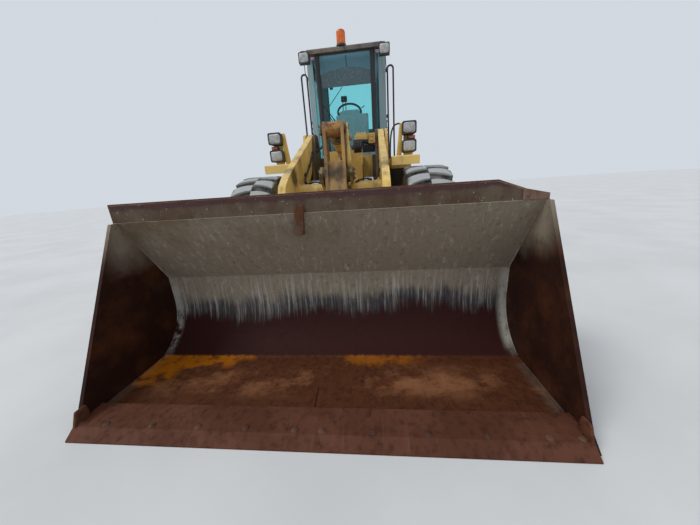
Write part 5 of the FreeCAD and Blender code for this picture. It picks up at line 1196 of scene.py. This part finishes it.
def cabSeals():
    c = cab
    handleX = c["doorFront"] - 34
    seals = []
    x = c["front"] - 23
    seals.append(sealLoop(route((x, -c["glassHalf"] + 6, c["sill"] + 6), (x, c["glassHalf"] - 6, c["sill"] + 6), (x,
            c["glassHalf"] - 6, c["head"] - 8), (x, -c["glassHalf"] + 6, c["head"] - 8)), 0.011))
    x = -1302
    seals.append(sealLoop(route((x, -510, 2458), (x, 510, 2458), (x, 510, c["head"] - 10), (x, -510, c["head"] - 10)),
                          0.011))
    complete("cabSeals", joined(seals), "chassis", blackPlastic)
    for side, sign in sides:
        y = sign * (c["half"] + 1)
        low, high, inner = c["doorLow"] + c["doorFrame"], c["doorHigh"] - c["doorFrame"], c["doorFrame"]
        front, back = c["doorFront"] - inner, c["doorBack"] + inner
        seal = sealLoop(route((back, y - sign * 6, low), (front, y - sign * 6, low), (front, y - sign * 6, high),
                              (back, y - sign * 6, high)), 0.008)
        complete(f"doorSeal{side}", seal, f"door_{side}", blackPlastic)
        base = softBlock(at(handleX, y + sign * 5, 2330), (0.036, 0.012, 0.16), 0.004, 2)
        grip = tubeAlong(route((handleX, y + sign * 8, 2270), (handleX, y + sign * 38, 2280), (handleX, y + sign * 42,
                2330), (handleX, y + sign * 38, 2380), (handleX, y + sign * 8, 2390)), 0.008)
        lock = spunPiece([(0, 0.01), (0.011, 0.01), (0.013, 0.006), (0.013, 0), (0, 0)], 20,
                         placeOf(at(handleX, y + sign * 10, 2235), (0, sign, 0)))
        complete(f"doorHandle{side.capitalize()}", joined([base, grip, lock]), f"door_{side}", blackPlastic)


cabSeals()


# A dark film across the windshield's top, the head lining, the mirror, the roof's trim and a rod at the rear pane.

sunBand = {"x": 64, "half": 427, "low": 2910, "side": 3105, "middle": 3180}


def sunBandPiece():
    s = sunBand
    high = (s["side"] - s["low"]) / 1000
    band = addBlock(at(s["x"], 0, (s["side"] + s["low"]) / 2), (0.004, 2 * s["half"] / 1000, high))
    choose(band, "FACE", lambda f: True)
    bpy.ops.mesh.subdivide(number_cuts=15)
    leaveEdit()
    for vertex in band.data.vertices:
        share = (vertex.co.z - s["low"] / 1000) / high
        vertex.co.z += share * (s["middle"] - s["side"]) / 1000 * (1 - (vertex.co.y * 1000 / s["half"]) ** 2)
    complete("sunBand", band, "chassis", bandFilm)
    lining = softBlock(at(-600, 0, 3376), (1.3, 1.14, 0.024), 0.01, 3)
    insetFaces(lining, facing((0, 0, -1)), 0.12, -0.008)
    complete("headLining", lining, "chassis", liningCloth)
    mirror = softBlock(at(30, -257, 2912), (0.03, 0.055, 0.045), 0.008, 3)
    stem = tubeAlong(route((30, -257, 2925), (24, -250, 3050), (20, 20, 3180), (20, 20, 3385)), 0.007, 1)
    trim = sealLoop(route((122, -622, 3396), (122, 622, 3396), (-66, 676, 3396), (-1352, 676, 3396),
                          (-1352, -676, 3396), (-66, -676, 3396)), 0.008)
    rod = tubeAlong(route((-1309, -198, 3330), (-1311, -380, 3130), (-1309, -505, 2990)), 0.007, 2)
    complete("cabTrim", joined([mirror, stem, trim, rod]), "chassis", blackPlastic)


# Grey green panels close the corners between the windshield and the doors.

cornerPanel = {"outer": ((22, 548), (-96, 668)), "inner": ((12, 541), (-103, 657)), "low": 1752, "high": 3388}


def cornerPanels():
    c = cornerPanel
    plan = [*c["outer"], *reversed(c["inner"])]
    posts = addBlock(at(-40, 600, (c["low"] + c["high"]) / 2), (0.1, 0.1, (c["high"] - c["low"]) / 1000))
    corners = sorted({(round(v.co.x, 4), round(v.co.y, 4)) for v in posts.data.vertices})
    order = {corners[0]: 2, corners[1]: 1, corners[2]: 3, corners[3]: 0}
    for vertex in posts.data.vertices:
        x, y = plan[order[(round(vertex.co.x, 4), round(vertex.co.y, 4))]]
        spot = at(x, y, 0)
        vertex.co.x, vertex.co.y = spot.x, spot.y
    bpy.context.view_layer.update()
    only(posts)
    bpy.ops.object.mode_set(mode="EDIT")
    bpy.ops.mesh.select_all(action="SELECT")
    bpy.ops.mesh.normals_make_consistent(inside=False)
    leaveEdit()
    soften(posts, 0.0015, 1)
    complete("cornerPanels", bothSides(posts), "chassis", cabPaint)


cornerPanels()
sunBandPiece()

# Seat: three padded cloth pieces on a black shell. A cap limits how far the cloth swells.

seatLook = {"x": -800, "half": 0.235, "deep": 0.46, "cushionZ": 2148, "cushionThick": 0.105, "backX": -1098,
            "backThick": 0.095, "backLow": 2190, "backHigh": 2740, "headLow": 2986, "headHigh": 3100, "voxel": 0.008,
            "cap": 0.016, "channels": (-0.11, 0.0, 0.11), "channelDeep": 0.007, "channelWide": 0.012, "frames": 20,
            "pressure": 4}


def cushionPiece(centre, extent):
    pad = addBlock(centre, extent)
    bevelEdges(pad, sharp, 0.028, 3)
    modifier = pad.modifiers.new("remesh", "REMESH")
    modifier.mode = "VOXEL"
    modifier.voxel_size = seatLook["voxel"]
    only(pad)
    bpy.ops.object.modifier_apply(modifier="remesh")
    rest = [vertex.co.copy() for vertex in pad.data.vertices]
    cloth = pad.modifiers.new("cloth", "CLOTH")
    cloth.settings.use_pressure = True
    cloth.settings.uniform_pressure_force = seatLook["pressure"]
    cloth.settings.effector_weights.gravity = 0
    for number in range(1, seatLook["frames"] + 1):
        bpy.context.scene.frame_set(number)
    bpy.ops.object.modifier_apply(modifier="cloth")
    bpy.context.scene.frame_set(1)
    for vertex, before in zip(pad.data.vertices, rest):
        moved = vertex.co - before
        if moved.length > seatLook["cap"]:
            vertex.co = before + moved.normalized() * seatLook["cap"]
    middle = Vector(centre)
    for vertex in pad.data.vertices:
        across = vertex.co.y - middle.y
        for channel in seatLook["channels"]:                     # sewn channels down the pad
            depth = seatLook["channelDeep"] * math.exp(-((across - channel) / seatLook["channelWide"]) ** 2)
            vertex.co -= (vertex.co - middle).normalized() * depth
    smooth = pad.modifiers.new("smooth", "SUBSURF")
    smooth.levels = smooth.render_levels = 1
    only(pad)
    bpy.ops.object.modifier_apply(modifier="smooth")
    return pad


def seatPieces():
    s = seatLook
    cushion = cushionPiece(at(s["x"] + 6, 0, s["cushionZ"]), (s["deep"], 2 * s["half"], s["cushionThick"]))
    back = cushionPiece(at(s["backX"], 0, (s["backLow"] + s["backHigh"]) / 2),
                        (s["backThick"], 1.76 * s["half"], (s["backHigh"] - s["backLow"]) / 1000))
    head = cushionPiece(at(s["backX"], -155, (s["headLow"] + s["headHigh"]) / 2),
                        (0.08, 0.13, (s["headHigh"] - s["headLow"]) / 1000))
    for name, pad, nodes in (("seatCushion", cushion, ("seat",)), ("seatBack", back, ()), ("headRest", head, ())):
        complete(name, pad, "chassis", seatCloth, nodes, 60)
    shell = addBlock(at(-1152, 0, 2450), (0.014, 0.42, 0.62))
    bevelEdges(shell, along((1, 0, 0)), 0.05, 4)
    pan = softBlock(at(-800, 0, 2088), (0.47, 0.46, 0.016), 0.006, 2)
    posts = [tubeAlong(route((-1098, y, 2720), (-1098, y, 3010)), 0.009, 1) for y in (-185, -125)]
    rests = []
    for side, sign in sides:
        rest = softBlock(at(-900, sign * 262, 2380), (0.3, 0.05, 0.045), 0.015, 4)
        rests += [rest, tubeAlong(route((-1040, sign * 258, 2370), (-1090, sign * 250, 2340),
                                        (-1130, sign * 238, 2250)), 0.012)]
    complete("seatShellAndRests", joined([shell, pan] + posts + rests), "chassis", blackPlastic)


seatPieces()


# Dash, levers, gauges and the steering wheel's hub behind the glass.

dash = {"wheel": (-360, 0, 2610), "lean": 26, "levers": (-640, -730), "leverY": -365}


def dashPieces():
    d = dash
    lean = math.radians(d["lean"])
    cluster = addBlock(at(2, 30, 2495), (0.05, 0.35, 0.13))
    bevelEdges(cluster, lambda edge: along((1, 0, 0))(edge) and edge.verts[0].co.z > 2.52, 0.062, 6)
    soften(cluster, 0.008, 3)
    shelf = softBlock(at(0, 70, 2310), (0.06, 0.56, 0.36), 0.02, 4)
    stalk = tubeAlong(route((-330, 120, 2610), (-310, 200, 2640), (-300, 260, 2672)), 0.007)
    tip = spunPiece([(0, 0.04), (0.009, 0.036), (0.011, 0.01), (0.006, 0), (0, 0)], 16,
                    placeOf(at(-302, 252, 2668), (0.1, 1, 0.5)))
    dial = spunPiece([(0, 0.001), (0.027, 0.001), (0.028, 0.006), (0.033, 0.006), (0.034, 0.0), (0, 0.0)], 28)
    dials = patterned(dial, [placeOf(at(-24, y, 2530), (-1, 0, 0)) for y in (-80, -5, 65, 140)])
    boot = spunPiece([(0, 0.06), (0.01, 0.06), (0.016, 0.05), (0.014, 0.045), (0.022, 0.034), (0.02, 0.03),
                      (0.032, 0.012), (0.036, 0), (0, 0)], 24)
    boots = patterned(boot, [placeOf(at(x, d["leverY"], 2300), (0, 0, 1)) for x in d["levers"]])
    knobs = []
    for x in d["levers"]:
        knobs.append(tubeAlong(route((x, d["leverY"], 2350), (x + 12, d["leverY"], 2430),
                                     (x + 18, d["leverY"], 2480)), 0.006))
        knobs.append(spunPiece([(0, 0.05), (0.014, 0.046), (0.021, 0.032), (0.018, 0.012), (0.01, 0.0), (0, 0)], 24,
                               placeOf(at(x + 18, d["leverY"], 2476), (0.15, 0, 1))))
    console = addBlock(at(-720, -365, 2030), (0.42, 0.12, 0.54))
    bevelEdges(console, along((0, 1, 0)), 0.05, 4)
    soften(console, 0.006, 2)
    hub = spunPiece([(0, 0.03), (0.03, 0.028), (0.05, 0.016), (0.052, 0.0), (0.04, -0.02), (0, -0.024)], 36,
                    placeOf(at(*d["wheel"]), (-math.sin(lean), 0, math.cos(lean))))
    spoke = softBlock((0, 0, 0), (0.2, 0.034, 0.01), 0.004, 2)
    spoke.data.transform(Matrix.Translation(at(*d["wheel"])) @ Matrix.Rotation(-lean, 4, "Y")
                         @ Matrix.Translation((-0.1, 0, 0)))
    complete("driverControls", joined([cluster, shelf, stalk, tip, dials, boots, console, hub, spoke] + knobs),
             "chassis", dashPlastic)


dashPieces()


# Handrails: a rounded loop with two legs beside each front post, on three brackets.

handrail = {"x": -164, "outer": 800, "inner": 702, "low": 1690, "high": 3220, "radius": 0.015,
            "brackets": (1720, 2450, 3150)}


def handrailPieces():
    h = handrail
    middle, bend = (h["outer"] + h["inner"]) / 2, (h["outer"] - h["inner"]) / 2
    crown = [(middle + bend * math.cos(a), h["high"] - bend + bend * math.sin(a))
             for a in (k * math.pi / 10 for k in range(11))]
    foot = [(middle - bend * math.cos(a), h["low"] + bend - bend * math.sin(a))
            for a in (k * math.pi / 10 for k in range(11))]
    loop = [at(h["x"], y, z) for y, z in crown + foot]
    rail = tubeAlong(loop + [loop[0]], h["radius"], 1)
    tabs = [rail]
    for z in h["brackets"]:
        tab = softBlock(at(h["x"], 680, z), (0.03, 0.044, 0.05), 0.004, 2)
        bolt = hexBolt(0.008, 0.008)
        bolt.data.transform(placeOf(at(h["x"] + 15, 680, z), (1, 0, 0)))
        tabs += [tab, bolt]
    complete("handrailLoops", bothSides(joined(tabs)), "chassis", blackPaint, ("handrails",))


handrailPieces()


# Wipers: two arms from the windshield's foot, parked toward its lower left.

wiperLook = {"x": 108, "blade": ((-470, 2740), (-215, 2385)), "arms": (((40, 1850), (-330, 2500)),
        ((95, 1850), (-250, 2420)))}


def wiperPiece():
    w = wiperLook
    parts = []
    for k, (start, end) in enumerate(w["arms"]):
        parts.append(tubeAlong([at(w["x"], start[0], start[1]), at(w["x"] + 8, start[0] - 60, start[1] + 110),
                                at(w["x"] - 2, *end)], 0.0075))
        parts.append(spunPiece([(0, 0.03), (0.012, 0.03), (0.016, 0.02), (0.02, 0.0), (0, 0)], 20,
                               placeOf(at(101, start[0], start[1]), (1, 0, 0))))
    top, low = (at(92, *spot) for spot in w["blade"])
    parts.append(tubeAlong([top, low], 0.009, 1))
    parts.append(tubeAlong([top.lerp(low, 0.1), top.lerp(low, 0.3) + Vector((0.02, 0, 0)),
                            top.lerp(low, 0.7) + Vector((0.02, 0, 0)), top.lerp(low, 0.9)], 0.006))
    complete("wipers", joined(parts), "chassis", blackPaint, ("wiper",))


wiperPiece()
print("cab done")


# The photograph's camera; its focal length is in pixels of a picture 700 wide.

viewLook = {"focal": 260.6, "ahead": 0.9892, "side": 0.4084, "height": 1.3258, "yaw": 6.17, "pitch": 16.63,
            "roll": -3.85, "edge": 3.8, "picture": 700, "film": 36}
light = {"sky": (0.86, 0.92, 1.0), "skyStrength": 0.75, "sunTurn": (38, -14, 40), "sunStrength": 1.3, "sunSpread": 25,
         "floor": 120}


def addCamera():
    yaw, pitch, roll = (math.radians(viewLook[key]) for key in ("yaw", "pitch", "roll"))
    ahead = Vector((-math.cos(yaw) * math.cos(pitch), -math.sin(yaw) * math.cos(pitch), -math.sin(pitch)))
    level = ahead.cross(Vector((0, 0, 1))).normalized()
    upright = level.cross(ahead)
    right = math.cos(roll) * level + math.sin(roll) * upright
    up = -math.sin(roll) * level + math.cos(roll) * upright
    bpy.ops.object.camera_add(location=(viewLook["edge"] + viewLook["ahead"], viewLook["side"], viewLook["height"]))
    camera = bpy.context.object
    camera.rotation_euler = Matrix((right, up, -ahead)).transposed().to_euler()
    camera.data.sensor_width = viewLook["film"]
    camera.data.lens = viewLook["focal"] / viewLook["picture"] * viewLook["film"]
    camera.data.clip_end = 200
    bpy.context.scene.camera = camera


addCamera()
bpy.ops.mesh.primitive_plane_add(size=light["floor"], location=(0, 0, 0))
floor = bpy.context.object
floor.name = "floor"
floorMaterial = newMaterial("paleFloor", 0.9)
noiseOf(floorMaterial, 0.8, 5).step(0.3, 0.7).tint((0.6, 0.6, 0.59), (0.66, 0.66, 0.65)).feed("Base Color")
floor.data.materials.append(floorMaterial)

world = bpy.data.worlds.new("softSky")
bpy.context.scene.world = world
world.use_nodes = True
sky = world.node_tree.nodes["Background"]
sky.inputs["Color"].default_value = (*light["sky"], 1)
sky.inputs["Strength"].default_value = light["skyStrength"]
bpy.ops.object.light_add(type="SUN", rotation=[math.radians(turn) for turn in light["sunTurn"]])
sun = bpy.context.object
sun.data.energy = light["sunStrength"]
sun.data.angle = math.radians(light["sunSpread"])
bpy.context.scene.view_settings.view_transform = "Standard"
print("camera and light set")
